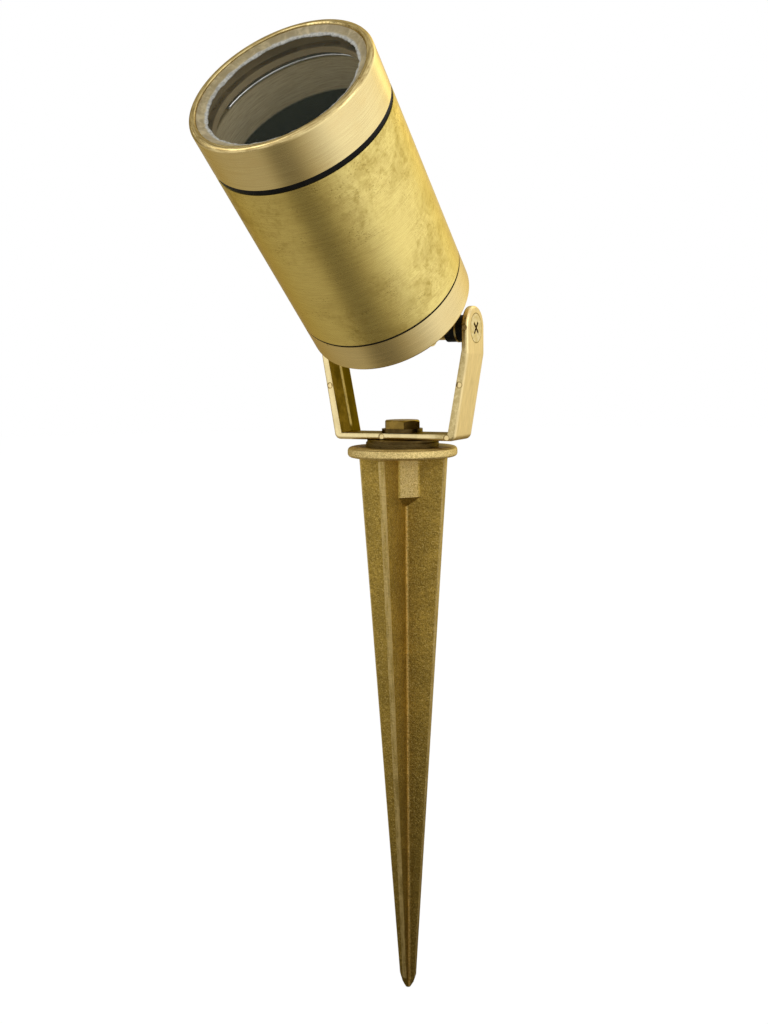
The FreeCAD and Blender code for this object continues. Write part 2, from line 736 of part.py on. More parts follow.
def make_pivot_screws():
    """Two countersunk screws through the ears into the pivot block."""
    body = new_body("pivot_screws", in_head=True)
    face = S.yoke_spread
    cone = S.pivot_screw_head - S.pivot_screw_radius
    sketch = draw(new_sketch(body, "section", "XZ_Plane"), [
        (SCREW_TIP, 0), (SCREW_TIP, S.pivot_screw_radius - 0.6),
        (SCREW_TIP + 0.6, S.pivot_screw_radius), (face - cone, S.pivot_screw_radius),
        (face, S.pivot_screw_head), (face, 0)])
    shank = turn(body, "Revolution", sketch, axis="H_Axis")
    cuts = cut_cross_recess(body, "YZ_Plane", 0, 0, face, S.recess_depth, reverse=False)
    mirror_about_yz(body, [shank] + cuts)
    return body


def make_block_screws():
    """Two countersunk screws from inside the cap into the pivot block."""
    body = new_body("pivot_block_screws", in_head=True)
    x = S.block_screw_spacing / 2
    tip = CAP_FLOOR - S.block_screw_length
    cone = S.block_screw_head - S.block_screw_radius
    shank = extrude(body, "Pad", draw_circle(new_sketch(body, "shank", "XY_Plane", tip),
                                             x, 0, S.block_screw_radius),
                    S.block_screw_length)
    lower = draw_circle(new_sketch(body, "cone_foot", "XY_Plane", CAP_FLOOR - cone),
                        x, 0, S.block_screw_radius)
    upper = draw_circle(new_sketch(body, "cone_mouth", "XY_Plane", CAP_FLOOR),
                        x, 0, S.block_screw_head)
    head = body.newObject("PartDesign::AdditiveLoft", "pivot_block_screws_head")
    head.Profile = lower
    head.Sections = [(upper, [""])]
    DOC.recompute()
    mirror_about_yz(body, [shank, head])
    return body


# ---- rear cap and cable gland ------------------------------------------------------------

def make_rear_cap():
    """Turned brass cap with a spigot that screws into the tube."""
    spigot = TUBE_BORE - S.fit
    body = turned("rear_cap", [
        (0, S.cap_rear), (S.head_radius, S.cap_rear), (S.head_radius, S.cap_front),
        (spigot, S.cap_front), (spigot, S.cap_front + S.cap_spigot),
        (CAP_CAVITY, S.cap_front + S.cap_spigot),
        (CAP_CAVITY, CAP_FLOOR), (0, CAP_FLOOR)], in_head=True)
    soften(body, "Fillet", ring_edge(S.head_radius, S.cap_rear), S.cap_rounding)
    cone_mouth = S.block_screw_head + S.fit
    cone_foot = S.block_screw_radius + S.fit
    for side, sign in SIDES.items():
        x = S.block_screw_spacing / 2 * sign
        bored(body, f"{side}_screw_hole", x, 0, cone_foot, S.cap_rear - 1.0, S.cap_floor + 2.0)
        foot = draw_circle(new_sketch(body, f"{side}_cone_foot", "XY_Plane",
                                      CAP_FLOOR - (cone_mouth - cone_foot)), x, 0, cone_foot)
        mouth = draw_circle(new_sketch(body, f"{side}_cone_mouth", "XY_Plane", CAP_FLOOR),
                            x, 0, cone_mouth)
        cone = body.newObject("PartDesign::SubtractiveLoft", f"rear_cap_{side}_cone")
        cone.Profile = foot
        cone.Sections = [(mouth, [""])]
        DOC.recompute()
        bored(body, f"{side}_post_hole", POST_SPACING / 2 * sign, 0,
              S.small_screw_radius + S.fit, CAP_FLOOR - S.post_stud - 0.3, S.post_stud + 1.3)
        bored(body, f"{side}_terminal_hole", S.terminal_screw_spacing / 2 * sign,
              -TERMINAL_SETBACK, S.small_screw_radius + S.fit,
              CAP_FLOOR - S.post_stud - 0.3, S.post_stud + 1.3)
    bored(body, "gland_hole", 0, GLAND_OFFSET, S.gland_stud_radius + S.fit,
          S.cap_rear - 1.0, S.cap_floor + 2.0)
    return body


def make_gland():
    """Cable gland: flat washer, hexagon body, seal sleeve and dome nut, off the head's axis."""
    y = GLAND_OFFSET
    washer = new_body("gland_washer", in_head=True)
    ring = new_sketch(washer, "ring", "XY_Plane", GLAND_SEAT)
    draw_circle(ring, 0, y, S.gland_flats / 2)
    draw_circle(ring, 0, y, S.gland_stud_radius + S.fit)
    extrude(washer, "Pad", ring, S.gland_washer_thickness)

    body = new_body("gland_body", in_head=True)
    hexed = draw(new_sketch(body, "hexagon", "XY_Plane", GLAND_HEX_END),
                 hexagon(0, y, S.gland_flats))
    extrude(body, "Pad", hexed, S.gland_hex_height)
    stud = draw_circle(new_sketch(body, "stud", "XY_Plane", GLAND_SEAT),
                       0, y, S.gland_stud_radius)
    extrude(body, "Pad", stud, CAP_FLOOR - GLAND_SEAT)
    neck = draw_circle(new_sketch(body, "neck", "XY_Plane",
                                  GLAND_HEX_END - S.gland_neck_length),
                       0, y, S.gland_neck_radius)
    extrude(body, "Pad", neck, S.gland_neck_length)
    bored(body, "cord_way", 0, y, S.cord_bore, GLAND_HEX_END - 1.0,
          CAP_FLOOR - GLAND_HEX_END + 2.0)
    bored(body, "seal_seat", 0, y, S.gland_seal_radius + S.fit,
          GLAND_HEX_END - S.gland_neck_length - 1.0, S.gland_neck_length + 1.0)

    seal = new_body("gland_seal", in_head=True)
    sleeve = new_sketch(seal, "sleeve", "XY_Plane", GLAND_HEX_END - S.gland_seal_length)
    draw_circle(sleeve, 0, y, S.gland_seal_radius)
    draw_circle(sleeve, 0, y, S.cord_bore)
    extrude(seal, "Pad", sleeve, S.gland_seal_length)

    nut = new_body("gland_dome_nut", in_head=True)
    end = GLAND_HEX_END - S.dome_length
    hexed = draw(new_sketch(nut, "hexagon", "XY_Plane", end), hexagon(0, y, S.gland_flats))
    extrude(nut, "Pad", hexed, S.dome_length)
    bored(nut, "cord_way", 0, y, S.cord_bore, end - 1.0, S.dome_length + 2.0)
    bored(nut, "thread", 0, y, S.gland_neck_radius + S.fit, end + S.dome_lip,
          S.dome_length + 1.0)

    def end_rim(edge):
        return all(abs(v.Z - end.value) < 0.01 for v in edge.Vertexes) and \
            isinstance(edge.Curve, Part.Line)
    soften(nut, "Chamfer", end_rim, S.dome_lip / 2)


# ---- tube, bezel and lens ----------------------------------------------------------------

def make_tube():
    """Brass tube with a threaded neck in front and a groove for the retaining ring."""
    groove = TUBE_BORE + S.snap_groove_depth
    return turned("head_tube", [
        (TUBE_BORE, TUBE_REAR), (S.head_radius, TUBE_REAR),
        (S.head_radius, S.tube_front), (NECK_RADIUS, S.tube_front),
        (NECK_RADIUS, NECK_FRONT), (TUBE_BORE, NECK_FRONT),
        (TUBE_BORE, SNAP_FRONT + S.fit), (groove, SNAP_FRONT + S.fit),
        (groove, SNAP_REAR - S.fit), (TUBE_BORE, SNAP_REAR - S.fit)], in_head=True)


def make_retaining_ring():
    """Open steel ring sprung into the groove behind the lens."""
    body = new_body("lamp_retaining_ring", in_head=True)
    outer = TUBE_BORE + S.snap_groove_depth - S.fit
    inner = outer - S.snap_ring_width
    section = draw(new_sketch(body, "section", "XZ_Plane"), [
        (inner, SNAP_REAR), (outer, SNAP_REAR), (outer, SNAP_FRONT), (inner, SNAP_FRONT)])
    turn(body, "Revolution", section)
    half_gap = S.snap_ring_gap.value / 2
    reach = outer + 2.0
    mouth = draw(new_sketch(body, "mouth", "XY_Plane", SNAP_REAR - 1.0), [
        (0, 0),
        (-reach * math.cos(math.radians(half_gap)), -reach * math.sin(math.radians(half_gap))),
        (-reach * math.cos(math.radians(half_gap)), reach * math.sin(math.radians(half_gap)))])
    extrude(body, "Pocket", mouth, S.snap_ring_height + 2.0, reverse=True)
    return body


def make_bezel():
    """Bezel that screws on the neck; a ledge carries the lens from behind."""
    ledge_rear = LENS_REAR - S.ledge_thickness
    body = turned("bezel_ring", [
        (NECK_RADIUS + S.fit, BEZEL_REAR), (S.head_radius, BEZEL_REAR),
        (S.head_radius, BEZEL_FRONT), (LENS_POCKET, BEZEL_FRONT),
        (LENS_POCKET, LENS_REAR), (LEDGE_BORE, LENS_REAR),
        (LEDGE_BORE, ledge_rear), (NECK_RADIUS + S.fit, ledge_rear)], in_head=True)
    soften(body, "Fillet", ring_edge(S.head_radius, BEZEL_FRONT), S.bezel_rounding)
    soften(body, "Fillet", ring_edge(LENS_POCKET, BEZEL_FRONT),
           S.bezel_inside_rounding)
    return body


def make_lens():
    """Clear glass disc and the bead of sealant that holds its edge."""
    turned("lens_glass", [
        (0, LENS_REAR), (LENS_POCKET - S.lens_clearance, LENS_REAR),
        (LENS_POCKET - S.lens_clearance, LENS_FRONT), (0, LENS_FRONT)],
        in_head=True)
    outer = LENS_POCKET - S.fit
    turned("silicone_bead", [
        (BEAD_BORE, LENS_FRONT), (outer, LENS_FRONT), (outer, LENS_FRONT + S.bead_height),
        (outer - 1.2, LENS_FRONT + S.bead_height * 0.85),
        (BEAD_BORE, LENS_FRONT + S.bead_lip)], in_head=True)


def make_seal_rings():
    """The black ring behind the bezel and the thin one in front of the rear cap."""
    flat_ring("bezel_seal_ring", NECK_RADIUS + S.fit, RING_RADIUS,
              S.tube_front + S.slip, BEZEL_REAR - S.slip, in_head=True)
    flat_ring("rear_cap_seal_ring", TUBE_BORE + S.fit, RING_RADIUS,
              S.cap_front, TUBE_REAR, in_head=True)


# ---- lamp carrier, holder and wiring -----------------------------------------------------

def make_carrier_posts():
    """Two turned posts, each screwed into the cap's floor by its stud."""
    body = new_body("carrier_posts", in_head=True)
    x = POST_SPACING / 2
    post = extrude(body, "Pad", draw_circle(new_sketch(body, "post", "XY_Plane", CAP_FLOOR),
                                            x, 0, S.post_radius), S.post_length)
    stud = extrude(body, "Pad", draw_circle(
        new_sketch(body, "stud", "XY_Plane", CAP_FLOOR - S.post_stud),
        x, 0, S.small_screw_radius), S.post_stud + 0.5)
    hole = bored(body, "thread", x, 0, S.small_screw_radius + S.fit,
                 CARRIER_REAR - S.post_stud * 2, S.post_stud * 2 + 1.0)
    mirror_about_yz(body, [post, stud, hole])
    return body


def small_screws(label, spacing, y, seat, length):
    """Two pan head screws, standing on seat and reaching length below it."""
    body = new_body(label, in_head=True)
    x = spacing / 2
    shank = extrude(body, "Pad", draw_circle(new_sketch(body, "shank", "XY_Plane",
                                                        seat - length),
                                             x, y, S.small_screw_radius), length)
    head = extrude(body, "Pad", draw_circle(new_sketch(body, "head", "XY_Plane", seat),
                                            x, y, S.small_screw_head),
                   S.small_screw_head_height)
    top = seat + S.small_screw_head_height
    slot = draw(new_sketch(body, "slot", "XY_Plane", top),
                rectangle(x, y, S.small_screw_head * 1.7, S.small_screw_head * 0.3))
    slotted = extrude(body, "Pocket", slot, S.small_screw_head_height / 2)
    mirror_about_yz(body, [shank, head, slotted])
    return body


def make_lamp_carrier():
    """Sheet disc on the posts, with a slot for the leads and holes for the holder."""
    body = new_body("lamp_carrier", in_head=True)
    disc = draw_circle(new_sketch(body, "disc", "XY_Plane", CARRIER_REAR), 0, 0,
                       CARRIER_RADIUS)
    extrude(body, "Pad", disc, S.carrier_thickness)
    openings = new_sketch(body, "openings", "XY_Plane", CARRIER_REAR - 1.0)
    draw(openings, rectangle(0, 0, S.carrier_slot_length, S.carrier_slot_width))
    for sign in SIDES.values():
        draw_circle(openings, POST_SPACING / 2 * sign, 0, S.small_screw_radius + S.fit)
        draw_circle(openings, S.holder_screw_spacing / 2 * sign, 0,
                    S.small_screw_radius + S.fit)
    extrude(body, "Pocket", openings, S.carrier_thickness + 2.0, reverse=True)
    return body


def make_lamp_holder():
    """Ceramic two pin holder with a screw foot on each side."""
    body = new_body("lamp_holder", in_head=True)
    foot = draw(new_sketch(body, "foot", "XY_Plane", CARRIER_FRONT),
                rectangle(0, 0, S.holder_foot_width, S.holder_depth))
    extrude(body, "Pad", foot, S.holder_foot_height)
    block = draw(new_sketch(body, "block", "XY_Plane", CARRIER_FRONT),
                 rectangle(0, 0, S.holder_width, S.holder_depth))
    extrude(body, "Pad", block, S.holder_height)
    contact = S.pin_bore + S.contact_wall + S.fit
    for side, sign in SIDES.items():
        bored(body, f"{side}_foot_hole", S.holder_screw_spacing / 2 * sign, 0,
              S.small_screw_radius + S.fit, CARRIER_FRONT - 1.0, S.holder_foot_height + 2.0)
        bored(body, f"{side}_pin_way", S.pin_pitch / 2 * sign, 0, contact,
              HOLDER_FRONT - S.contact_length, S.contact_length + 1.0)
        bored(body, f"{side}_lead_way", S.pin_pitch / 2 * sign, 0, S.lead_radius + S.fit,
              CARRIER_FRONT - 1.0, S.holder_height + 1.0 - S.contact_length + 0.01)
    return body


def make_contacts():
    """Two spring sleeves that grip the lamp's pins."""
    body = new_body("holder_contacts", in_head=True)
    x = S.pin_pitch / 2
    sleeve = new_sketch(body, "sleeve", "XY_Plane", HOLDER_FRONT - S.contact_length)
    draw_circle(sleeve, x, 0, S.pin_bore + S.contact_wall)
    tube = extrude(body, "Pad", sleeve, S.contact_length - 0.5)
    way = bored(body, "pin_way", x, 0, S.pin_bore, HOLDER_FRONT - S.contact_length + 0.8,
                S.contact_length)
    mirror_about_yz(body, [tube, way])
    return body


def make_terminal_block():
    """Two way terminal block on the cap's floor, with its two clamp screws at the side."""
    y = -TERMINAL_SETBACK
    body = new_body("terminal_block", in_head=True)
    block = draw(new_sketch(body, "block", "XY_Plane", CAP_FLOOR),
                 rectangle(0, y, S.terminal_width, S.terminal_depth))
    extrude(body, "Pad", block, S.terminal_height)
    face = TERMINAL_SETBACK + S.terminal_depth / 2
    middle = CAP_FLOOR + S.terminal_height / 2
    for side, sign in SIDES.items():
        bored(body, f"{side}_screw_hole", S.terminal_screw_spacing / 2 * sign, y,
              S.small_screw_radius + S.fit, CAP_FLOOR - 1.0, S.terminal_height + 2.0)
        hole = draw_circle(new_sketch(body, f"{side}_clamp_hole", "XZ_Plane", face),
                           S.pin_pitch / 2 * sign, middle, S.clamp_screw_radius + S.fit)
        extrude(body, "Pocket", hole, S.clamp_screw_length)

    screws = new_body("clamp_screws", in_head=True)
    shank = draw_circle(new_sketch(screws, "shank", "XZ_Plane", face - S.clamp_screw_length),
                        S.pin_pitch / 2, middle, S.clamp_screw_radius)
    pad = extrude(screws, "Pad", shank, S.clamp_screw_length - 0.3)
    mirror_about_yz(screws, [pad])


def make_leads():
    """Two insulated leads from the terminal block up into the holder."""
    end = HOLDER_FRONT - S.contact_length
    lower = TERMINAL_TOP + (CARRIER_REAR - TERMINAL_TOP - S.lead_bend * 2) / 2
    upper = lower + S.lead_bend * 2
    for side, sign in SIDES.items():
        body = new_body(f"lamp_lead_{side}", in_head=True)
        x = S.pin_pitch / 2 * sign
        round_wire = new_sketch(body, "round", "XY_Plane", TERMINAL_TOP)
        draw_circle(round_wire, x, -TERMINAL_SETBACK, S.lead_radius)
        route = draw(new_sketch(body, "route", "YZ_Plane", x), [
            (-TERMINAL_SETBACK, TERMINAL_TOP), (-TERMINAL_SETBACK, lower),
            (-S.lead_bend, lower + S.lead_bend), (0, upper), (0, end)],
            arcs={1: -S.lead_bend, 2: S.lead_bend}, closed=False)
        pipe = body.newObject("PartDesign::AdditivePipe", f"lamp_lead_{side}_pipe")
        pipe.Profile = round_wire
        pipe.Spine = route
        DOC.recompute()


# ---- build and export --------------------------------------------------------------------

def build():
    """Makes every sub-part in the document."""
    make_ground_spike()
    make_yoke_bolt()
    make_bolt_washers()
    make_yoke()
    make_pivot_rings()
    make_pivot_block()
    make_block_gasket()
    make_pivot_screws()
    make_block_screws()
    make_rear_cap()
    make_gland()
    make_tube()
    make_retaining_ring()
    make_bezel()
    make_lens()
    make_seal_rings()
    make_carrier_posts()
    small_screws("carrier_screws", POST_SPACING, Size(0.0, "0"), CARRIER_FRONT,
                 S.carrier_thickness + S.post_stud)
    make_lamp_carrier()
    make_lamp_holder()
    small_screws("holder_screws", S.holder_screw_spacing, Size(0.0, "0"), HOLDER_FOOT,
                 S.holder_foot_height + S.carrier_thickness + 0.5)
    make_contacts()
    make_terminal_block()
    small_screws("terminal_screws", S.terminal_screw_spacing, -TERMINAL_SETBACK,
                 TERMINAL_TOP, S.terminal_height + S.post_stud)
    make_leads()
    DOC.recompute()


def check_document():
    """Stops on any object that failed and on any body without a valid solid."""
    for item in DOC.Objects:
        if {"Invalid", "Error"} & set(item.State):
            raise RuntimeError(f"{item.Name} failed: {item.State}")
    for body in bodies():
        shape = body.Shape
        if shape.isNull() or not shape.isValid() or not shape.Solids:
            raise RuntimeError(f"{body.Label} has no valid solid")


def bodies():
    """The sub-parts, in the order in which they were made."""
    return [item for item in DOC.Objects if item.TypeId == "PartDesign::Body"]


def export():
    """Writes each sub-part to parts/ under its label."""
    os.makedirs("parts", exist_ok=True)
    for body in bodies():
        if not re.fullmatch(r"[a-z0-9_]{1,59}", body.Label):
            raise RuntimeError(f"{body.Label} isn't a file name")
        body.Shape.exportStep(os.path.join("parts", f"{body.Label}.step"))
        box = body.Shape.BoundBox
        print(f"{body.Label}: {len(body.Shape.Solids)} solid(s), {body.Shape.Volume:.1f} mm3, "
              f"z {box.ZMin:.2f} to {box.ZMax:.2f}")


build()
check_document()
export()
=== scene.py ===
import json
import math

import bmesh
import bpy
from bpy.props import (FloatProperty, FloatVectorProperty, IntProperty,
                       PointerProperty)
from mathutils import Matrix, Vector, noise


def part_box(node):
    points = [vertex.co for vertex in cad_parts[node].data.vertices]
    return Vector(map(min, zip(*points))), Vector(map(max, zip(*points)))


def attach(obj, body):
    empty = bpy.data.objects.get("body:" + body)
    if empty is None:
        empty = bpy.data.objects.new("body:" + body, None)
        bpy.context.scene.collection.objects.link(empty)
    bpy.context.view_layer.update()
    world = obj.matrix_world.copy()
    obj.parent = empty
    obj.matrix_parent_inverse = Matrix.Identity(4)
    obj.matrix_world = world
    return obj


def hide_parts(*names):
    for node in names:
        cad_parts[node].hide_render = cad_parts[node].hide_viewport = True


bl_info = {
    "name": "Spike Spotlight",
    "version": (1, 0, 0),
    "blender": (4, 5, 0),
    "location": "View3D > Sidebar > Spotlight",
    "description": "Finishes, sealant bead and studio for a garden spike spotlight",
    "category": "Object",
}

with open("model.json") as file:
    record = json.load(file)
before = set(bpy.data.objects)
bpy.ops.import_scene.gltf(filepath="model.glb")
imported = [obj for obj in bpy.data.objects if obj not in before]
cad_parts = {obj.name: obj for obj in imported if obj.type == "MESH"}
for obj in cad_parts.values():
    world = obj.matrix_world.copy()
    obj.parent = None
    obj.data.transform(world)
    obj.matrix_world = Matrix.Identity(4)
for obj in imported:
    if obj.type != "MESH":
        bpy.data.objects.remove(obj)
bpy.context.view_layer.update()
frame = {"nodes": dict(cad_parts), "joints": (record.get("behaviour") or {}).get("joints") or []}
NODES = frame["nodes"]
JOINTS = {joint["name"]: joint for joint in frame["joints"]}

# The head's own axes: X across the pivot, Y towards the cord gland, Z out of the bezel.
PIVOT = Vector(JOINTS["head_tilt"]["pos_m"])
HEAD_AXIS = Vector(JOINTS["bezel_travel"]["axis"]).normalized()
ACROSS = Vector((1, 0, 0))
HEAD_UP = HEAD_AXIS.cross(ACROSS).normalized()
HEAD = Matrix((ACROSS, HEAD_UP, HEAD_AXIS)).transposed().to_4x4()
HEAD.translation = PIVOT
HEAD_INVERSE = HEAD.inverted()

FLOOR_GAP = 0.0003
FLOOR_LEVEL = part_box("ground_spike")[0].z - FLOOR_GAP

# Pairs of distances, in metres, between which one finish blends into the next.
# Levels up the head's axis, from the pivot:
DARK_DEPTH = (0.0876, 0.0884)       # below it the tube's bore is painted dark as shade
BEZEL_REAR = (0.090, 0.095)         # behind the bezel
TUBE_MOUTH = (0.1000, 0.1008)       # above it the bore is the brown snap ring groove
LENS_FACE = (0.1096, 0.1099)        # the lens's front
BEZEL_LIP = (0.1113, 0.1118)        # above it lies the bezel's front edge
# Radii about the head's axis:
LEDGE_BORE = (0.0260, 0.0263)       # the ledge behind the lens
SEALANT_RIM = (0.0269, 0.0277)      # the milky inner edge of the sealant
OPENING_EDGE = (0.0289, 0.0291)     # the bezel's front opening
BORE_WALL = (0.0289, 0.0292)        # the tube's bore against its outside
POCKET_WALL = (0.02915, 0.02935)    # the pocket that the lens lies in
# On the yoke:
ARM_SKIN = (0.0021, 0.0024)         # depth below the fork's outer faces
ARM_FACE = (0.0079, 0.0082)         # its front and rear faces, off its middle plane
EAR_FACE = (0.0300, 0.0306)         # the ears' outer faces, off the middle of the fork
EAR_HEIGHT = 0.0095                 # the ears begin this far below the pivot
FOOT_HALF = 0.0256                  # half the fork's width at its foot
SCREW_COLLAR = 0.00545              # radius of the painted shade line around a pivot screw
PIN_MARKS = ((0.02945, 0.0488), (0.02751, 0.02782), (-0.00512, 0.00803),
             (0.02227, 0.00803))    # across and up, on its front face
PIN_RADIUS = 0.00108
BASE_LEVEL = 0.01                   # marks below it lie on the base, above it on both arms
# On the spike:
BLADE_REACH = 0.0187                # half the blades' span at the flange
BLADE_TAPER = 0.07076               # what the reach loses per metre of depth
BOSS_FLAT_INNER = (0.0100, 0.0104)  # the boss's flats, as the sum of both offsets
BOSS_FLAT_OUTER = (0.0108, 0.0112)
BOSS_FOOT = (-0.0200, -0.0185)      # the boss's pointed foot
FLANGE_FOOT = (-0.0004, 0.0002)     # the flange's underside
FLANGE_TOP = (0.0026, 0.0038)       # the flange's upper edge, painted dark as shade

# Colours that wear, dirt and rubbing leave on the brass, and colours of painted shade and
# highlights.
PIT_DIRT = (0.16, 0.085, 0.025)
EDGE_STAIN = (0.34, 0.235, 0.085)
# Painted shade in the bezel's pocket behind the lens, lighter on its ledge.
POCKET_SHADE = (0.34, 0.27, 0.16)
LEDGE_HALF_SHADE = (0.60, 0.48, 0.28)
SPECK = (0.19, 0.12, 0.025)
BORE_DULL, BORE_BRIGHT = (0.74, 0.60, 0.34), (1.0, 0.88, 0.58)
GROOVE_BROWN = (0.38, 0.29, 0.145)
BORE_SHADE = (0.035, 0.029, 0.013)
RIDGE_WEAR_AND_HIGHLIGHT = (0.60, 0.45, 0.15)
FACE_SHEEN = (1.0, 0.87, 0.50)
FACE_STAIN = (0.55, 0.40, 0.15)
FACE_OLIVE = (0.40, 0.29, 0.09)
RING_SHADE = (0.30, 0.20, 0.06)
GRAIN_GLINT = (0.80, 0.61, 0.23)
EDGE_WEAR_AND_HIGHLIGHT = (0.72, 0.55, 0.23)
CORNER_HIGHLIGHT = (0.95, 0.74, 0.32)
BOSS_FLAT_PALE = (0.70, 0.54, 0.25)
FLANGE_GLINT = (1.0, 0.79, 0.36)
FLANGE_TOP_SHADE = (0.20, 0.125, 0.025)
UNDER_YOKE_SHADE = (0.05, 0.03, 0.008)
BRASS_GLANCE = (0.86, 0.70, 0.38)   # tint of the brass where it is seen at a slant
WHITE = (1.0, 1.0, 1.0)


def colour_property(name, description, default):
    """A colour that a user can set."""
    return FloatVectorProperty(name=name, description=description, default=default,
                               subtype="COLOR", size=3, min=0, max=1)


def length_property(name, description, default, largest=0.1):
    """A length that a user can set."""
    return FloatProperty(name=name, description=description, default=default,
                         subtype="DISTANCE", unit="LENGTH", min=0, max=largest,
                         precision=5)


class SPOT_PG_bead(bpy.types.PropertyGroup):
    """Sizes of the sealant bead around the lens."""
    inner_radius: length_property("Inner Radius", "Mean radius of the bead's inner edge",
                                  0.0256)
    outer_radius: length_property("Outer Radius", "Radius where the bead meets the bezel",
                                  0.02895)
    rise: length_property("Rise", "Height of the bead against the bezel wall", 0.0019)
    wander: length_property("Wander", "How far the hand-run inner edge strays", 0.00055)
    steps: IntProperty(name="Steps", description="Segments around the bead",
                       default=320, min=64, max=512)


class SPOT_PG_finish(bpy.types.PropertyGroup):
    """Colours of the brass finishes."""
    satin: colour_property("Satin Brass", "Turned bezel and rear cap", (1.0, 0.80, 0.385))
    tube: colour_property("Tube Brass", "Drawn tube of the head", (1.0, 0.785, 0.27))
    tarnish: colour_property("Tarnish", "Olive tarnish on the tube", (0.46, 0.33, 0.07))
    cast: colour_property("Cast Brass", "Polished outside of the yoke",
                          (0.94, 0.74, 0.36))
    # Painted shade: the recess colour is unpolished brass darkened further as shade inside the
    # fork.
    recess: colour_property("Recess", "Unpolished brass inside the yoke",
                            (0.13, 0.078, 0.010))
    spike: colour_property("Spike Brass", "Rough cast ground spike", (0.46, 0.31, 0.062))


class SPOT_PG_studio(bpy.types.PropertyGroup):
    """Camera and light."""
    azimuth: FloatProperty(name="Azimuth", description="Camera's turn about the part",
                           default=math.radians(26.92), subtype="ANGLE")
    elevation: FloatProperty(name="Elevation", description="Camera's height angle",
                             default=math.radians(7.71), subtype="ANGLE")
    roll: FloatProperty(name="Roll", description="Camera's lean",
                        default=0.01296, subtype="ANGLE")
    distance: FloatProperty(name="Distance", description="Camera to target",
                            default=0.434113, subtype="DISTANCE", unit="LENGTH")
    focal: FloatProperty(name="Focal Length", description="Lens, in millimetres",
                         default=38.307, min=1)
    target: FloatVectorProperty(name="Target", description="Point the camera looks at",
                                default=(-0.008491, 0, -0.022519),
                                subtype="TRANSLATION", size=3)
    lamp_power: FloatProperty(name="Lamp Power", description="Main lamp",
                              default=5.0, min=0, subtype="POWER", unit="POWER")


class SPOT_PG_settings(bpy.types.PropertyGroup):
    """Everything that can be set for the spotlight."""
    bead: PointerProperty(type=SPOT_PG_bead)
    finish: PointerProperty(type=SPOT_PG_finish)
    studio: PointerProperty(type=SPOT_PG_studio)


# ---------------------------------------------------------------- shader maths

class Value:
    """A shader socket that takes part in Python arithmetic."""

    def __init__(self, finish, socket):
        self.finish = finish
        self.socket = socket

    def math(self, operation, *others):
        """One Math node on this value and the others."""
        return self.finish.node("ShaderNodeMath", {"operation": operation},
                                dict(enumerate((self,) + others)))

    def __add__(self, other):
        return self.math("ADD", other)

    def __radd__(self, other):
        return self.math("ADD", other)

    def __mul__(self, other):
        return self.math("MULTIPLY", other)

    def __rmul__(self, other):
        return self.math("MULTIPLY", other)

    def __sub__(self, other):
        return self.math("SUBTRACT", other)

    def __rsub__(self, other):
        return self.finish.node("ShaderNodeMath", {"operation": "SUBTRACT"},
                                {0: other, 1: self})

    def __truediv__(self, other):
        return self.math("DIVIDE", other)

    def __rtruediv__(self, other):
        return self.finish.node("ShaderNodeMath", {"operation": "DIVIDE"},
                                {0: other, 1: self})

    def __pow__(self, other):
        return self.math("POWER", other)

    def __abs__(self):
        return self.math("ABSOLUTE")

    def band(self, low, high):
        """0 below low, 1 above high, smooth between."""
        return self.finish.node("ShaderNodeMapRange",
                                {"interpolation_type": "SMOOTHSTEP"},
                                {0: self, 1: low, 2: high, 3: 0.0, 4: 1.0})


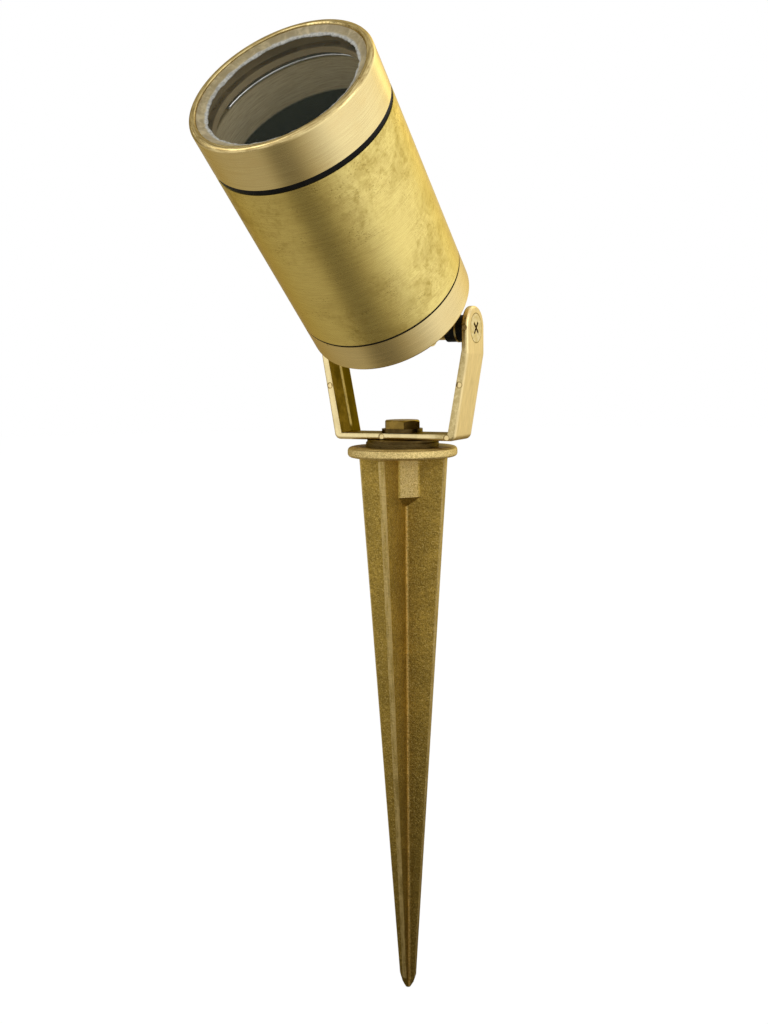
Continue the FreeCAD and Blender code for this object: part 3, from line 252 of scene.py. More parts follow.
class Finish:
    """The nodes of a material, or of the world where it is given one."""

    def __init__(self, name, world=None):
        self.material = world or bpy.data.materials.new(name)
        self.material.use_nodes = True
        self.tree = self.material.node_tree
        self.tree.nodes.clear()

    def node(self, kind, settings=None, sockets=None, out=0):
        """One node: its settings first, then the values or links of its sockets."""
        made = self.tree.nodes.new(kind)
        for key, value in (settings or {}).items():
            setattr(made, key, value)
        for key, value in (sockets or {}).items():
            socket = made.inputs[key]
            if isinstance(value, Value):
                self.tree.links.new(value.socket, socket)
            elif hasattr(value, "__len__"):
                numbers = tuple(value)
                if len(socket.default_value) == 4 and len(numbers) == 3:
                    numbers += (1.0,)
                socket.default_value = numbers
            else:
                socket.default_value = value
        return Value(self, made.outputs[out])

    def place(self):
        """Object coordinates as x, y, z."""
        return self.split(self.node("ShaderNodeTexCoord", out="Object"))

    def head_place(self):
        """Coordinates in the head's own axes, from the pivot."""
        spot = self.node("ShaderNodeTexCoord", out="Object")
        turn = HEAD_INVERSE.to_euler()
        return self.split(self.node(
            "ShaderNodeMapping", {"vector_type": "POINT"},
            {"Vector": spot, "Location": tuple(HEAD_INVERSE.translation),
             "Rotation": (turn.x, turn.y, turn.z)}))

    def split(self, vector):
        """The three parts of a vector."""
        parts = self.node("ShaderNodeSeparateXYZ", None, {0: vector}).socket.node.outputs
        return tuple(Value(self, part) for part in parts)

    def join(self, x, y, z):
        """A vector of three values."""
        return self.node("ShaderNodeCombineXYZ", None, {0: x, 1: y, 2: z})

    def rays(self):
        """Masks of what the camera sees itself and of what metal and glass show."""
        path = self.node("ShaderNodeLightPath").socket.node.outputs
        seen = Value(self, path["Is Camera Ray"])
        mirror = Value(self, path["Is Glossy Ray"]) \
            + Value(self, path["Is Transmission Ray"])
        return seen, mirror.math("MINIMUM", 1.0)

    def noise(self, vector, scale, detail=3.0, roughness=0.55, distortion=0.0):
        """Cloudy pattern, around 0.5."""
        return self.node("ShaderNodeTexNoise", {"noise_dimensions": "3D"},
                         {"Vector": vector, "Scale": scale, "Detail": detail,
                          "Roughness": roughness, "Distortion": distortion})

    def cells(self, vector, scale):
        """Distance from the nearest of many scattered points."""
        return self.node("ShaderNodeTexVoronoi", {"feature": "F1"},
                         {"Vector": vector, "Scale": scale})

    def mix(self, factor, first, second):
        """The first colour where the factor is 0, the second where it is 1."""
        return self.node("ShaderNodeMix", {"data_type": "RGBA"},
                         {0: factor, 6: first, 7: second}, out=2)

    def bump(self, height, distance, strength):
        """A normal that follows a height."""
        return self.node("ShaderNodeBump", None, {
            "Height": height, "Distance": distance, "Strength": strength})

    def surface(self, colour, roughness, metallic, normal=None, **constants):
        """The finished material; a constant's name has _ for each space."""
        sockets = {"Base Color": colour, "Roughness": roughness, "Metallic": metallic}
        if normal is not None:
            sockets["Normal"] = normal
        if metallic != 0.0:
            sockets["Specular Tint"] = BRASS_GLANCE
        for key, value in constants.items():
            sockets[key.replace("_", " ")] = value
        return self.end(self.node("ShaderNodeBsdfPrincipled", None, sockets))

    def end(self, shader, kind="ShaderNodeOutputMaterial"):
        """Lead a shader to the output."""
        made = self.tree.nodes.new(kind)
        self.tree.links.new(shader.socket, made.inputs["Surface"])
        return self.material


def give(material, *names):
    """Put a material on CAD nodes' objects."""
    for name in names:
        slots = NODES[name].material_slots
        if not slots:
            NODES[name].data.materials.append(material)
        for slot in slots:
            slot.material = material


def shade(colour, factor):
    """A colour made darker or lighter."""
    return tuple(min(1.0, channel * factor) for channel in colour)


# ---------------------------------------------------------------- finishes

def turned_brass(name, colour, ring=2600.0, brushing=0.5, pits=1.0):
    """Satin brass turned about the head's axis, with fine rings and small pits, and painted
    shade in the pocket behind the lens.
    """
    f = Finish(name)
    x, y, h = f.head_place()
    radius = (x * x + y * y) ** 0.5
    spot = f.join(x, y, h)
    lines = f.noise(f.join(x * 70.0, y * 70.0, (h + radius) * ring), 1.0, 2.0, 0.6)
    broad = f.noise(f.join(x * 26.0, y * 26.0, (h + radius) * 420.0), 1.0, 2.0, 0.5)
    cloud = f.noise(spot, 55.0, 3.0, 0.6)
    pit = f.cells(spot, 190.0)
    mask = (1.0 - pit.band(0.07, 0.15)) * f.noise(spot, 90.0, 1.0).band(0.54, 0.60) * pits
    tone = f.mix(lines.band(0.32, 0.70), shade(colour, 0.88), shade(colour, 1.04))
    tone = f.mix(broad.band(0.35, 0.65) * brushing, tone, shade(colour, 0.93))
    tone = f.mix(cloud.band(0.52, 0.75) * 0.35, tone,
                 (colour[0] * 0.86, colour[1] * 0.76, colour[2] * 0.60))
    tone = f.mix(mask, tone, PIT_DIRT)
    front = h.band(*BEZEL_LIP) * radius.band(*OPENING_EDGE)
    stain = f.noise(f.join(x * 160.0, y * 160.0, radius * 2200.0), 1.0, 4.0, 0.7)
    tone = f.mix(front * (stain.band(0.40, 0.60) * 0.50 + 0.38), tone, EDGE_STAIN)
    # Painted shade: the pocket behind the lens is darkened, its ledge less than its wall.
    shaded_pocket = (1.0 - radius.band(*POCKET_WALL)) * h.band(*BEZEL_REAR) \
        * (1.0 - h.band(*LENS_FACE))
    tone = f.mix(shaded_pocket, tone, POCKET_SHADE)
    tone = f.mix(shaded_pocket * (1.0 - radius.band(*LEDGE_BORE)), tone, LEDGE_HALF_SHADE)
    height = lines * 0.5 + broad * 0.3 - mask * 1.2
    return f.surface(tone, lines * 0.12 + 0.20 + mask * 0.3 + shaded_pocket * 0.15,
                     1.0 - shaded_pocket * 0.6, f.bump(height, 0.00004, 0.5))


def tube_finish(settings):
    """Drawn brass with mottled tarnish, fine scratches and dark specks, and painted shade deep
    in the bore.
    """
    f = Finish("tube_brass_finish")
    colour, tarnish = tuple(settings.tube), tuple(settings.tarnish)
    x, y, h = f.head_place()
    spot = f.join(x, y, h)
    lean = f.noise(spot, 38.0, 1.0) * 0.0010
    lines = f.noise(f.join(x * 150.0, y * 150.0, (h + lean) * 3600.0), 1.0, 3.0, 0.7)
    strands = f.noise(f.join(x * 75.0, y * 75.0, (h + lean) * 1100.0), 1.0, 3.0, 0.65)
    blotch = f.noise(spot, 85.0, 5.0, 0.68, 0.7)
    fine = f.noise(spot, 420.0, 4.0, 0.75, 0.6)
    patch = f.noise(spot, 24.0, 2.0, 0.5)
    specks = f.cells(f.join(x, y, h * 1.7), 900.0)
    speck_mask = (1.0 - specks.band(0.12, 0.36)) \
        * f.noise(spot, 95.0, 4.0, 0.7).band(0.50, 0.62)
    worn = (blotch.band(0.44, 0.62) * 0.55 + fine.band(0.46, 0.64) * 0.45) \
        * patch.band(0.36, 0.58)
    tone = f.mix(lines.band(0.30, 0.72), shade(colour, 0.84), shade(colour, 1.05))
    tone = f.mix(strands.band(0.52, 0.74) * 0.30, tone, shade(colour, 0.66))
    tone = f.mix(worn * 0.78, tone, tarnish)
    tone = f.mix(speck_mask * 0.45, tone, SPECK)
    inside = 1.0 - ((x * x + y * y) ** 0.5).band(*BORE_WALL)
    bore = f.mix(lines.band(0.30, 0.72), BORE_DULL, BORE_BRIGHT)
    bore = f.mix(h.band(*TUBE_MOUTH), bore, GROOVE_BROWN)
    # Painted shade: the bore goes dark below DARK_DEPTH.
    bore = f.mix(1.0 - h.band(*DARK_DEPTH), bore, BORE_SHADE)
    tone = f.mix(inside, tone, bore)
    height = lines * 0.5 + strands * 0.35 - speck_mask * 0.6
    return f.surface(tone, lines * 0.12 + worn * 0.12 + inside * 0.22 + 0.21,
                     1.0 - inside * 0.72, f.bump(height, 0.00007, 0.6))


def yoke_finish(settings):
    """Cast brass, linished pale outside; inside the fork unpolished olive-brown brass darkened
    further as painted shade, most in the fork's rear half.
    """
    f = Finish("yoke_cast_finish")
    cast, recess = tuple(settings.cast), tuple(settings.recess)
    x, y, z = f.place()
    spot = f.join(x, y, z)
    low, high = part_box("yoke_bracket")
    half, base = high.x, low.z
    along = (z - base) / (PIVOT.z - EAR_HEIGHT - base)
    outer = along.math("MINIMUM", 1.0).math("MAXIMUM", 0.0) * (half - FOOT_HALF) \
        + FOOT_HALF
    inside = (outer - abs(x)).math("MINIMUM", z - base).band(*ARM_SKIN)
    front = abs(y).band(*ARM_FACE)
    grain = f.noise(spot, 620.0, 4.0, 0.7)
    cloud = f.noise(spot, 95.0, 4.0, 0.6, 0.4)
    drag = f.noise(f.join(x * 500.0, y * 2600.0, z * 110.0), 1.0, 2.0, 0.6)
    pale = f.mix(drag.band(0.3, 0.7), shade(cast, 0.84), shade(cast, 1.05))
    pale = f.mix(cloud.band(0.50, 0.72) * 0.5, pale, shade(cast, 0.74))
    dark = f.mix(cloud.band(0.34, 0.66), shade(recess, 0.55), shade(recess, 1.5))
    # Painted shade: the rear half of the fork's inside is darker still.
    dark = f.mix(y.band(0.0010, 0.0018) * 0.55, dark, shade(recess, 0.30))
    # Partly a worn parting ridge, partly a painted highlight along the fork's middle.
    ridge_wear_and_highlight = (1.0 - abs(y).band(0.0004, 0.0013)) * z.band(0.011, 0.013)
    dark = f.mix(ridge_wear_and_highlight * 0.75, dark, RIDGE_WEAR_AND_HIGHLIGHT)
    dark = f.mix(grain.band(0.45, 0.7) * 0.5, dark, shade(recess, 0.5))
    tone = f.mix(inside * (1.0 - front), pale, dark)
    tone = f.mix(front * 0.45, tone, FACE_SHEEN)
    tone = f.mix(front * cloud.band(0.46, 0.64) * 0.22, tone, FACE_STAIN)
    right_arm = (x - (z - base) * 0.10).band(0.0165, 0.0185)
    tone = f.mix(front * right_arm * (grain.band(0.35, 0.6) * 0.3 + 0.35), tone,
                 FACE_OLIVE)
    # Painted shade in the gap around each pivot screw and in the outlines of the pin marks.
    collar = abs((y * y + (z - PIVOT.z) ** 2.0) ** 0.5 - SCREW_COLLAR)
    collar = (1.0 - collar.band(0.00012, 0.00034)) * abs(x).band(*EAR_FACE)
    rings = 0.0
    for across, up in PIN_MARKS:
        off = (abs(x) if up > BASE_LEVEL else x) - across
        gap = (off * off + (z - up) ** 2.0) ** 0.5 - PIN_RADIUS
        rings = (1.0 - abs(gap).band(0.00010, 0.00032)) + rings
    forward = 1.0 - (y + ARM_FACE[1]).band(0.0001, 0.0008)
    tone = f.mix((rings * forward).math("MAXIMUM", collar) * 0.75, tone, RING_SHADE)
    height = grain * (inside * 0.7 + 0.25) + drag * 0.35
    return f.surface(tone, grain * 0.16 + inside * 0.10 + 0.24, 1.0,
                     f.bump(height, 0.00012, 0.55))


def spike_finish(settings):
    """Rough sand-cast brass, rubbed pale and painted with highlights on its edges, with painted
    highlights in its inner corners, a turned flange and painted shade on the flange top and
    under the yoke.
    """
    f = Finish("spike_cast_finish")
    colour = tuple(settings.spike)
    x, y, z = f.place()
    spot = f.join(x, y, z)
    radius = (x * x + y * y) ** 0.5
    far = abs(x).math("MAXIMUM", abs(y))
    near = abs(x).math("MINIMUM", abs(y))
    span = z * BLADE_TAPER + BLADE_REACH
    blades = 1.0 - z.band(-0.0010, -0.0002)
    edge = (far / span).band(0.955, 0.985) * blades
    # Painted highlight along the concave corners where the blades meet.
    corner_highlight = (1.0 - (far - near).band(0.0003, 0.0011)) * (1.0 - z.band(*BOSS_FOOT))
    flat = (far + near).band(*BOSS_FLAT_INNER) \
        * (1.0 - (far + near).band(*BOSS_FLAT_OUTER)) \
        * near.band(0.0024, 0.0030) * blades * z.band(-0.0158, -0.0154)
    grain = f.noise(spot, 1900.0, 3.0, 0.8)
    fleck = f.noise(spot, 620.0, 3.0, 0.7)
    pits = f.cells(spot, 700.0)
    cloud = f.noise(spot, 70.0, 4.0, 0.65, 0.3)
    streak = f.noise(f.join(x * 900.0, y * 900.0, z * 90.0), 1.0, 3.0, 0.6)
    # Painted shade on the spike's top where it lies under the yoke.
    shade_under_yoke = z.band(0.0030, 0.0042) * (1.0 - radius.band(0.0150, 0.0200))
    tone = f.mix(cloud.band(0.30, 0.70), shade(colour, 0.80), shade(colour, 1.14))
    tone = f.mix(fleck.band(0.46, 0.60) * 0.45, tone, shade(colour, 0.50))
    tone = f.mix((1.0 - z.band(-0.2100, -0.0500)) * 0.62, tone, shade(colour, 0.38))
    tone = f.mix(grain.band(0.54, 0.66) * 0.60, tone, GRAIN_GLINT)
    tone = f.mix((1.0 - grain).band(0.52, 0.62) * 0.65, tone, shade(colour, 0.38))
    # Partly wear, partly a painted highlight on the blades' edges and end faces.
    tone = f.mix(edge * (streak.band(0.34, 0.6) * 0.5 + 0.25), tone, EDGE_WEAR_AND_HIGHLIGHT)
    tone = f.mix(corner_highlight * (grain.band(0.40, 0.6) * 0.6 + 0.3), tone, CORNER_HIGHLIGHT)
    # The boss's flats are drawn paler.
    tone = f.mix(flat * (grain.band(0.36, 0.6) * 0.5 + 0.15), tone, BOSS_FLAT_PALE)
    flange = z.band(*FLANGE_FOOT)
    tone = f.mix(flange * (grain.band(0.40, 0.62) * 0.5 + 0.38), tone, FLANGE_GLINT)
    # Painted shade on the flange's top.
    tone = f.mix(z.band(*FLANGE_TOP) * 0.55, tone, FLANGE_TOP_SHADE)
    tone = f.mix(shade_under_yoke * 0.85, tone, UNDER_YOKE_SHADE)
    rings = (radius * 11000.0).math("SINE") * z.band(0.0002, 0.0006)
    height = grain * 0.9 + pits * 0.35 + streak * 0.2 + rings * 0.25
    return f.surface(tone, grain * 0.20 + 0.32, 1.0, f.bump(height, 0.00032, 0.8))


def machined_brass(name, colour, scale=1.0):
    """Plain machined brass for bolts, screws, washers and glands."""
    f = Finish(name)
    x, y, z = f.place()
    spot = f.join(x, y, z)
    cloud = f.noise(spot, 260.0 * scale, 3.0, 0.6, 0.3)
    fine = f.noise(spot, 2100.0 * scale, 2.0, 0.6)
    tone = f.mix(cloud.band(0.35, 0.68), shade(colour, 0.66), shade(colour, 1.12))
    tone = f.mix(fine.band(0.54, 0.72) * 0.4, tone, shade(colour, 0.5))
    return f.surface(tone, fine * 0.18 + 0.22, 1.0, f.bump(fine, 0.00004, 0.5))


def screw_head_brass():
    """Pale brass with brown dirt left deep in the cross recess."""
    f = Finish("pivot_screw_finish")
    x, y, z = f.place()
    spot = f.join(x, y, z)
    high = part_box("pivot_screws")[1].x
    deep = (high - abs(x)).band(0.0003, 0.0010)
    cloud = f.noise(spot, 600.0, 3.0, 0.6)
    tone = f.mix(cloud.band(0.35, 0.68), (0.72, 0.58, 0.27), (0.92, 0.79, 0.47))
    tone = f.mix(deep * 0.8, tone, (0.50, 0.35, 0.11))
    return f.surface(tone, cloud * 0.2 + 0.22, 1.0, f.bump(cloud, 0.00005, 0.5))


def plain_finish(name, dark, light, roughness, scale=300.0, metallic=0.0, depth=0.00004,
                 **constants):
    """A moulded, fired or drawn surface with a little colour and grain variation."""
    f = Finish(name)
    x, y, z = f.place()
    spot = f.join(x, y, z)
    cloud = f.noise(spot, scale, 3.0, 0.6, 0.2)
    fine = f.noise(spot, scale * 7.0, 2.0, 0.6)
    tone = f.mix(cloud.band(0.32, 0.68), dark, light)
    return f.surface(tone, fine * 0.16 + (roughness - 0.08), metallic,
                     f.bump(fine, depth, 0.4), **constants)


def glass_finish():
    """Clear toughened glass, faintly green, with a trace of dust on its face."""
    f = Finish("lens_glass_finish")
    x, y, h = f.head_place()
    dust = f.noise(f.join(x, y, h), 160.0, 4.0, 0.7)
    tone = f.mix(dust.band(0.4, 0.8), (0.32, 0.42, 0.33), (0.46, 0.55, 0.46))
    return f.surface(tone, dust.band(0.55, 0.9) * 0.05 + 0.015, 0.0,
                     IOR=1.5, Alpha=0.035)


def sealant_finish():
    """Milky silicone, uneven where it was run and wiped by hand."""
    f = Finish("sealant_finish")
    x, y, h = f.head_place()
    spot = f.join(x, y, h)
    lumps = f.noise(spot, 260.0, 4.0, 0.65, 0.5)
    smear = f.noise(spot, 900.0, 3.0, 0.6)
    radius = (x * x + y * y) ** 0.5
    rim = 1.0 - (radius + lumps * 0.0016).band(*SEALANT_RIM)
    tone = f.mix(lumps.band(0.36, 0.66), (0.52, 0.41, 0.20), (0.74, 0.61, 0.33))
    tone = f.mix(rim, tone, (0.78, 0.78, 0.71))
    clear = rim * (smear.band(0.35, 0.6) * 0.35 - 0.20) + lumps.band(0.46, 0.68) * 0.12 \
        + 0.75
    return f.surface(tone, smear * 0.25 + 0.22, 0.0,
                     f.bump(lumps * 0.7 + smear * 0.3, 0.0002, 0.7), Alpha=clear)


# ---------------------------------------------------------------- operators

CLEAR_OF_LENS = 0.00001


class SPOT_OT_sealant_bead(bpy.types.Operator):
    """Run the hand-laid silicone bead that seals the lens into the bezel"""
    bl_idname = "spot.sealant_bead"
    bl_label = "Sealant Bead"

    def execute(self, context):
        size = context.scene.spike_spotlight.bead
        seat = max((HEAD_INVERSE @ v.co).z for v in NODES["lens_glass"].data.vertices)
        inner, outer, rise = size.inner_radius, size.outer_radius, size.rise
        span = outer - inner
        # across from the inner edge and up from the lens, as shares of span and rise
        section = [(0.0, 0.02), (0.03, 0.16), (0.14, 0.30), (0.34, 0.42), (0.58, 0.58),
                   (0.80, 0.80), (0.93, 0.96), (1.0, 1.0), (1.0, 0.02)]
        bm = bmesh.new()
        loop = [bm.verts.new((inner + span * across, 0.0, seat + rise * up))
                for across, up in section]
        edges = [bm.edges.new((a, b)) for a, b in zip(loop, loop[1:] + loop[:1])]
        bmesh.ops.spin(bm, geom=loop + edges, cent=(0, 0, 0), axis=(0, 0, 1),
                       angle=math.tau, steps=size.steps, use_merge=True)
        bmesh.ops.remove_doubles(bm, verts=bm.verts, dist=1e-7)
        for vertex in bm.verts:
            radius = math.hypot(vertex.co.x, vertex.co.y)
            turn = Vector((vertex.co.x, vertex.co.y, 0)) / radius
            free = min(1.0, (outer - radius) / span)
            stray = noise.noise(turn * 5.0) + 0.6 * noise.noise(turn * 14.0 + ACROSS) \
                + 0.35 * noise.noise(turn * 38.0)
            radius -= size.wander * free * free * stray
            up = vertex.co.z - seat
            up *= 1.0 + 0.30 * noise.noise(turn * 9.0 + Vector((0, 0, 3))) * free
            vertex.co = (turn * radius) + Vector((0, 0, seat + CLEAR_OF_LENS + up))
        bmesh.ops.recalc_face_normals(bm, faces=bm.faces)
        bmesh.ops.transform(bm, matrix=HEAD, verts=bm.verts)
        mesh = bpy.data.meshes.new("lens_sealant")
        bm.to_mesh(mesh)
        bm.free()
        mesh.shade_smooth()
        bead = bpy.data.objects.new("lens_sealant", mesh)
        context.scene.collection.objects.link(bead)
        mesh.materials.append(sealant_finish())
        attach(bead, "bezel")
        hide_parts("silicone_bead")
        return {"FINISHED"}


class SPOT_OT_snap_ring(bpy.types.Operator):
    """Bend the wire snap ring that rests in the tube's mouth"""
    bl_idname = "spot.snap_ring"
    bl_label = "Snap Ring"
    oval = 1.5

    def execute(self, context):
        points = [HEAD_INVERSE @ v.co for v in
                  NODES["lamp_retaining_ring"].data.vertices]
        turns = sorted(math.atan2(p.y, p.x) for p in points)
        opens, closes = max(zip(turns, turns[1:] + [turns[0] + math.tau]),
                            key=lambda pair: pair[1] - pair[0])
        low, high = min(p.z for p in points), max(p.z for p in points)
        wire = (high - low) / 2
        reach = max(math.hypot(p.x, p.y) for p in points) - self.oval * wire
        bm = bmesh.new()
        bmesh.ops.create_circle(bm, segments=14, radius=wire)
        bmesh.ops.rotate(bm, verts=bm.verts, cent=(0, 0, 0),
                         matrix=Matrix.Rotation(math.pi / 2, 3, "X"))
        bmesh.ops.scale(bm, verts=bm.verts, vec=(self.oval, 1, 1))
        bmesh.ops.translate(bm, verts=bm.verts, vec=(reach, 0, (low + high) / 2))
        bmesh.ops.rotate(bm, verts=bm.verts, cent=(0, 0, 0),
                         matrix=Matrix.Rotation(closes, 3, "Z"))
        bmesh.ops.spin(bm, geom=bm.verts[:] + bm.edges[:], cent=(0, 0, 0),
                       axis=(0, 0, 1), angle=opens + math.tau - closes, steps=150)
        bmesh.ops.holes_fill(bm, edges=[e for e in bm.edges if e.is_boundary], sides=0)
        bmesh.ops.recalc_face_normals(bm, faces=bm.faces)
        bmesh.ops.transform(bm, matrix=HEAD, verts=bm.verts)
        mesh = bpy.data.meshes.new("snap_ring")
        bm.to_mesh(mesh)
        bm.free()
        mesh.shade_smooth()
        ring = bpy.data.objects.new("snap_ring", mesh)
        context.scene.collection.objects.link(ring)
        mesh.materials.append(plain_finish(
            "spring_steel_finish", (0.78, 0.80, 0.80), (0.95, 0.96, 0.96), 0.30, 500.0,
            1.0, Specular_Tint=WHITE))
        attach(ring, "head")
        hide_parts("lamp_retaining_ring")
        return {"FINISHED"}


class SPOT_OT_head_finish(bpy.types.Operator):
    """Finish the tube, bezel and rear cap"""
    bl_idname = "spot.head_finish"
    bl_label = "Head Brass"

    def execute(self, context):
        finish = context.scene.spike_spotlight.finish
        satin = tuple(finish.satin)
        give(turned_brass("bezel_brass_finish", satin), "bezel_ring")
        give(turned_brass("cap_brass_finish", shade(satin, 0.94), 2300.0, 0.6, 0.7),
             "rear_cap")
        give(tube_finish(finish), "head_tube")
        return {"FINISHED"}


class SPOT_OT_cast_finish(bpy.types.Operator):
    """Finish the cast yoke and ground spike"""
    bl_idname = "spot.cast_finish"
    bl_label = "Cast Brass"

    def execute(self, context):
        finish = context.scene.spike_spotlight.finish
        give(yoke_finish(finish), "yoke_bracket")
        give(spike_finish(finish), "ground_spike")
        return {"FINISHED"}


class SPOT_OT_fastener_finish(bpy.types.Operator):
    """Finish the bolts, screws, washers, gland and pivot block"""
    bl_idname = "spot.fastener_finish"
    bl_label = "Fasteners and Gland"

    def execute(self, context):
        bolt = (0.33, 0.21, 0.045)
        shadowed = (0.10, 0.064, 0.020)
        bright = (0.80, 0.64, 0.31)
        give(machined_brass("bolt_finish", bolt), "yoke_bolt")
        # Painted shade: the washers under the yoke and the bolt head are made dark.
        give(machined_brass("swivel_washer_painted_shade", shadowed), "swivel_washer",
             "yoke_bolt_washer")
        give(machined_brass("pivot_washer_finish", shade(bright, 0.75)),
             "pivot_washer_left", "pivot_washer_right")
        give(machined_brass("block_finish", bright, 0.6), "pivot_block",
             "pivot_block_screws", "gland_body", "gland_dome_nut")
        give(machined_brass("small_screw_finish", bright, 1.6), "holder_contacts",
             "clamp_screws", "terminal_screws")
        give(screw_head_brass(), "pivot_screws")
        return {"FINISHED"}


class SPOT_OT_inner_finish(bpy.types.Operator):
    """Finish the rubber, glass, ceramic, steel and wiring"""
    bl_idname = "spot.inner_finish"
    bl_label = "Seals, Lens and Lamp Fittings"

    def execute(self, context):
        give(plain_finish("rubber_finish", (0.004, 0.004, 0.004), (0.010, 0.009, 0.008),
                          0.55, 500.0, Specular_IOR_Level=0.12),
             "bezel_seal_ring", "rear_cap_seal_ring", "pivot_inner_ring_left",
             "pivot_inner_ring_right", "pivot_outer_ring_left",
             "pivot_outer_ring_right", "pivot_block_gasket", "gland_washer",
             "gland_seal")
        give(plain_finish("steel_finish", (0.50, 0.51, 0.50), (0.72, 0.73, 0.72), 0.26,
                          400.0, 1.0, Specular_Tint=WHITE), "carrier_posts",
             "carrier_screws", "lamp_carrier", "holder_screws")
        give(plain_finish("ceramic_finish", (0.70, 0.66, 0.57), (0.84, 0.81, 0.73), 0.55,
                          350.0), "lamp_holder")
        give(plain_finish("terminal_finish", (0.62, 0.61, 0.57), (0.74, 0.73, 0.69),
                          0.42, 350.0), "terminal_block")
        give(plain_finish("lead_finish", (0.66, 0.65, 0.60), (0.80, 0.79, 0.74), 0.45,
                          500.0), "lamp_lead_left", "lamp_lead_right")
        give(glass_finish(), "lens_glass")
        return {"FINISHED"}


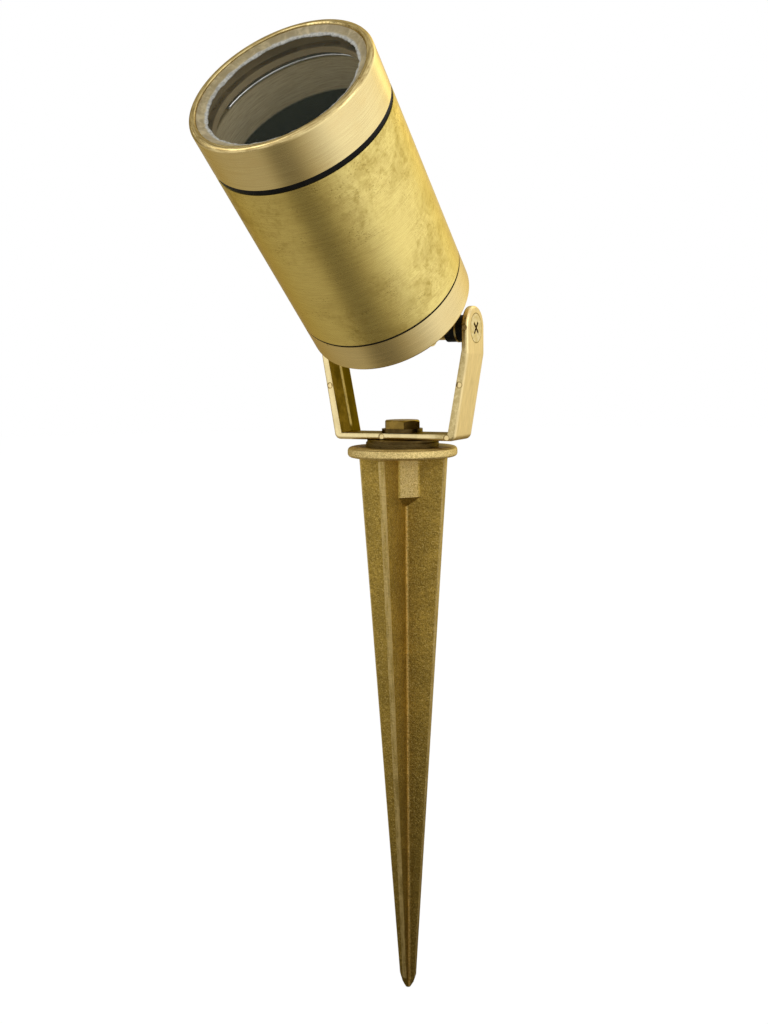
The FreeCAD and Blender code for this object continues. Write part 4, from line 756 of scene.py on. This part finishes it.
class SPOT_OT_stage(bpy.types.Operator):
    """Set the pale floor, the soft lamps and the camera"""
    bl_idname = "spot.stage"
    bl_label = "Studio"
    fill = 0.45         # brightness of the world as it lights the part
    paper_glow = 1.09   # brightness of the floor as the camera sees it

    def execute(self, context):
        scene = context.scene
        studio = scene.spike_spotlight.studio
        self.lay_floor(scene)
        self.set_world(scene)
        self.hang_lamp(scene, "main_lamp", (-1.0, -1.0, 1.25), 1.1, studio.lamp_power)
        self.hang_lamp(scene, "side_lamp", (1.35, -0.35, 0.55), 0.9,
                       studio.lamp_power * 0.55)
        self.hang_lamp(scene, "back_lamp", (0.2, 1.3, 1.1), 1.2, studio.lamp_power * 0.5)
        self.set_camera(scene, studio)
        scene.view_settings.view_transform = "Standard"
        return {"FINISHED"}

    def lay_floor(self, scene):
        """A pale paper floor, which metal sees lighter and darker by its place, with a painted
        shadow beneath the part.
        """
        bm = bmesh.new()
        bmesh.ops.create_circle(bm, cap_ends=True, segments=96, radius=4.0)
        bmesh.ops.translate(bm, verts=bm.verts, vec=(0, 0, FLOOR_LEVEL))
        mesh = bpy.data.meshes.new("studio_floor")
        bm.to_mesh(mesh)
        bm.free()
        floor = bpy.data.objects.new("studio_floor", mesh)
        scene.collection.objects.link(floor)
        f = Finish("studio_floor_finish")
        seen, mirror = f.rays()
        x, y, _ = f.place()
        away = (x * x + y * y) ** 0.5
        # Painted shadow and light for metal's reflections: dim at 0.38, bright to the right and
        # far in front, darkest in a strip beneath the part, warm-tinted where dark.
        front = away.band(0.75, 1.2) * (1.0 - y.band(-0.5, 0.0))
        tone = 0.38 + x.band(0.10, 0.50).math("MAXIMUM", front) * 0.62 \
            - x.band(-0.13, -0.01) * (1.0 - x.band(0.03, 0.20)) \
            * (1.0 - away.band(0.4, 0.8)) * 0.24
        shade_tint = f.mix(tone.band(0.15, 0.8), (1.0, 0.86, 0.55), WHITE)
        paper = f.node("ShaderNodeBsdfDiffuse", None, {"Color": (0.82, 0.82, 0.81)})
        glow = f.node("ShaderNodeEmission", None, {
            "Color": f.mix(mirror, WHITE, shade_tint),
            "Strength": self.paper_glow - mirror * (self.paper_glow - tone)})
        mesh.materials.append(f.end(f.node("ShaderNodeMixShader", None, {
            0: seen * 0.88 + mirror * 0.92, 1: paper, 2: glow})))

    def set_world(self, scene):
        """A white surround that lights the part evenly, dimmer in metal at one side."""
        scene.world = bpy.data.worlds.new("studio_world")
        f = Finish("studio_world", scene.world)
        seen, mirror = f.rays()
        side, ahead, _ = f.split(f.node("ShaderNodeTexCoord", out="Generated"))
        tone = 1.0 - (1.0 - side.band(-0.75, 0.2)) * ahead.band(-0.5, 0.1) * 0.58
        strength = seen * (1.0 - self.fill) + mirror * (tone - self.fill) + self.fill
        f.end(f.node("ShaderNodeBackground", None, {"Color": WHITE, "Strength": strength}),
              "ShaderNodeOutputWorld")

    def hang_lamp(self, scene, name, place, size, power):
        """A round soft lamp aimed at the part."""
        lamp = bpy.data.lights.new(name, "AREA")
        lamp.shape = "DISK"
        lamp.size = size
        lamp.energy = power
        hung = bpy.data.objects.new(name, lamp)
        hung.location = place
        aim = Vector((0, -0.02, 0.02)) - Vector(place)
        hung.rotation_euler = aim.to_track_quat("-Z", "Y").to_euler()
        scene.collection.objects.link(hung)

    def set_camera(self, scene, studio):
        """The camera at the photograph's angle."""
        turn, rise = studio.azimuth, studio.elevation
        back = Vector((math.sin(turn) * math.cos(rise), -math.cos(turn) * math.cos(rise),
                       math.sin(rise)))
        right = (-back).cross(Vector((0, 0, 1))).normalized()
        down = (-back).cross(right)
        lean, sway = math.cos(studio.roll), math.sin(studio.roll)
        side = right * lean + down * sway
        drop = down * lean - right * sway
        data = bpy.data.cameras.new("photo_camera")
        data.sensor_width = 36.0
        data.lens = studio.focal
        data.clip_start = 0.01
        camera = bpy.data.objects.new("photo_camera", data)
        place = Matrix((side, -drop, back)).transposed().to_4x4()
        place.translation = Vector(studio.target) + back * studio.distance
        camera.matrix_world = place
        scene.collection.objects.link(camera)
        scene.camera = camera


class SPOT_PT_panel(bpy.types.Panel):
    """The spotlight's steps in the sidebar"""
    bl_idname = "SPOT_PT_panel"
    bl_label = "Spike Spotlight"
    bl_space_type = "VIEW_3D"
    bl_region_type = "UI"
    bl_category = "Spotlight"

    def draw(self, context):
        for step in STEPS:
            self.layout.operator(step.bl_idname)
        settings = context.scene.spike_spotlight
        for group in (settings.bead, settings.finish, settings.studio):
            box = self.layout.box()
            for name in group.__annotations__:
                box.prop(group, name)


STEPS = (SPOT_OT_sealant_bead, SPOT_OT_snap_ring, SPOT_OT_head_finish, SPOT_OT_cast_finish,
         SPOT_OT_fastener_finish, SPOT_OT_inner_finish, SPOT_OT_stage)
CLASSES = (SPOT_PG_bead, SPOT_PG_finish, SPOT_PG_studio, SPOT_PG_settings) \
    + STEPS + (SPOT_PT_panel,)


def register():
    """Register the classes and the scene's settings."""
    for cls in CLASSES:
        bpy.utils.register_class(cls)
    bpy.types.Scene.spike_spotlight = PointerProperty(type=SPOT_PG_settings)


def unregister():
    """Take the settings and the classes away again."""
    del bpy.types.Scene.spike_spotlight
    for cls in reversed(CLASSES):
        bpy.utils.unregister_class(cls)


def main():
    """Make every piece and the studio."""
    register()
    for step in STEPS:
        group, name = step.bl_idname.split(".")
        getattr(getattr(bpy.ops, group), name)()


if __name__ == "__main__":
    main()
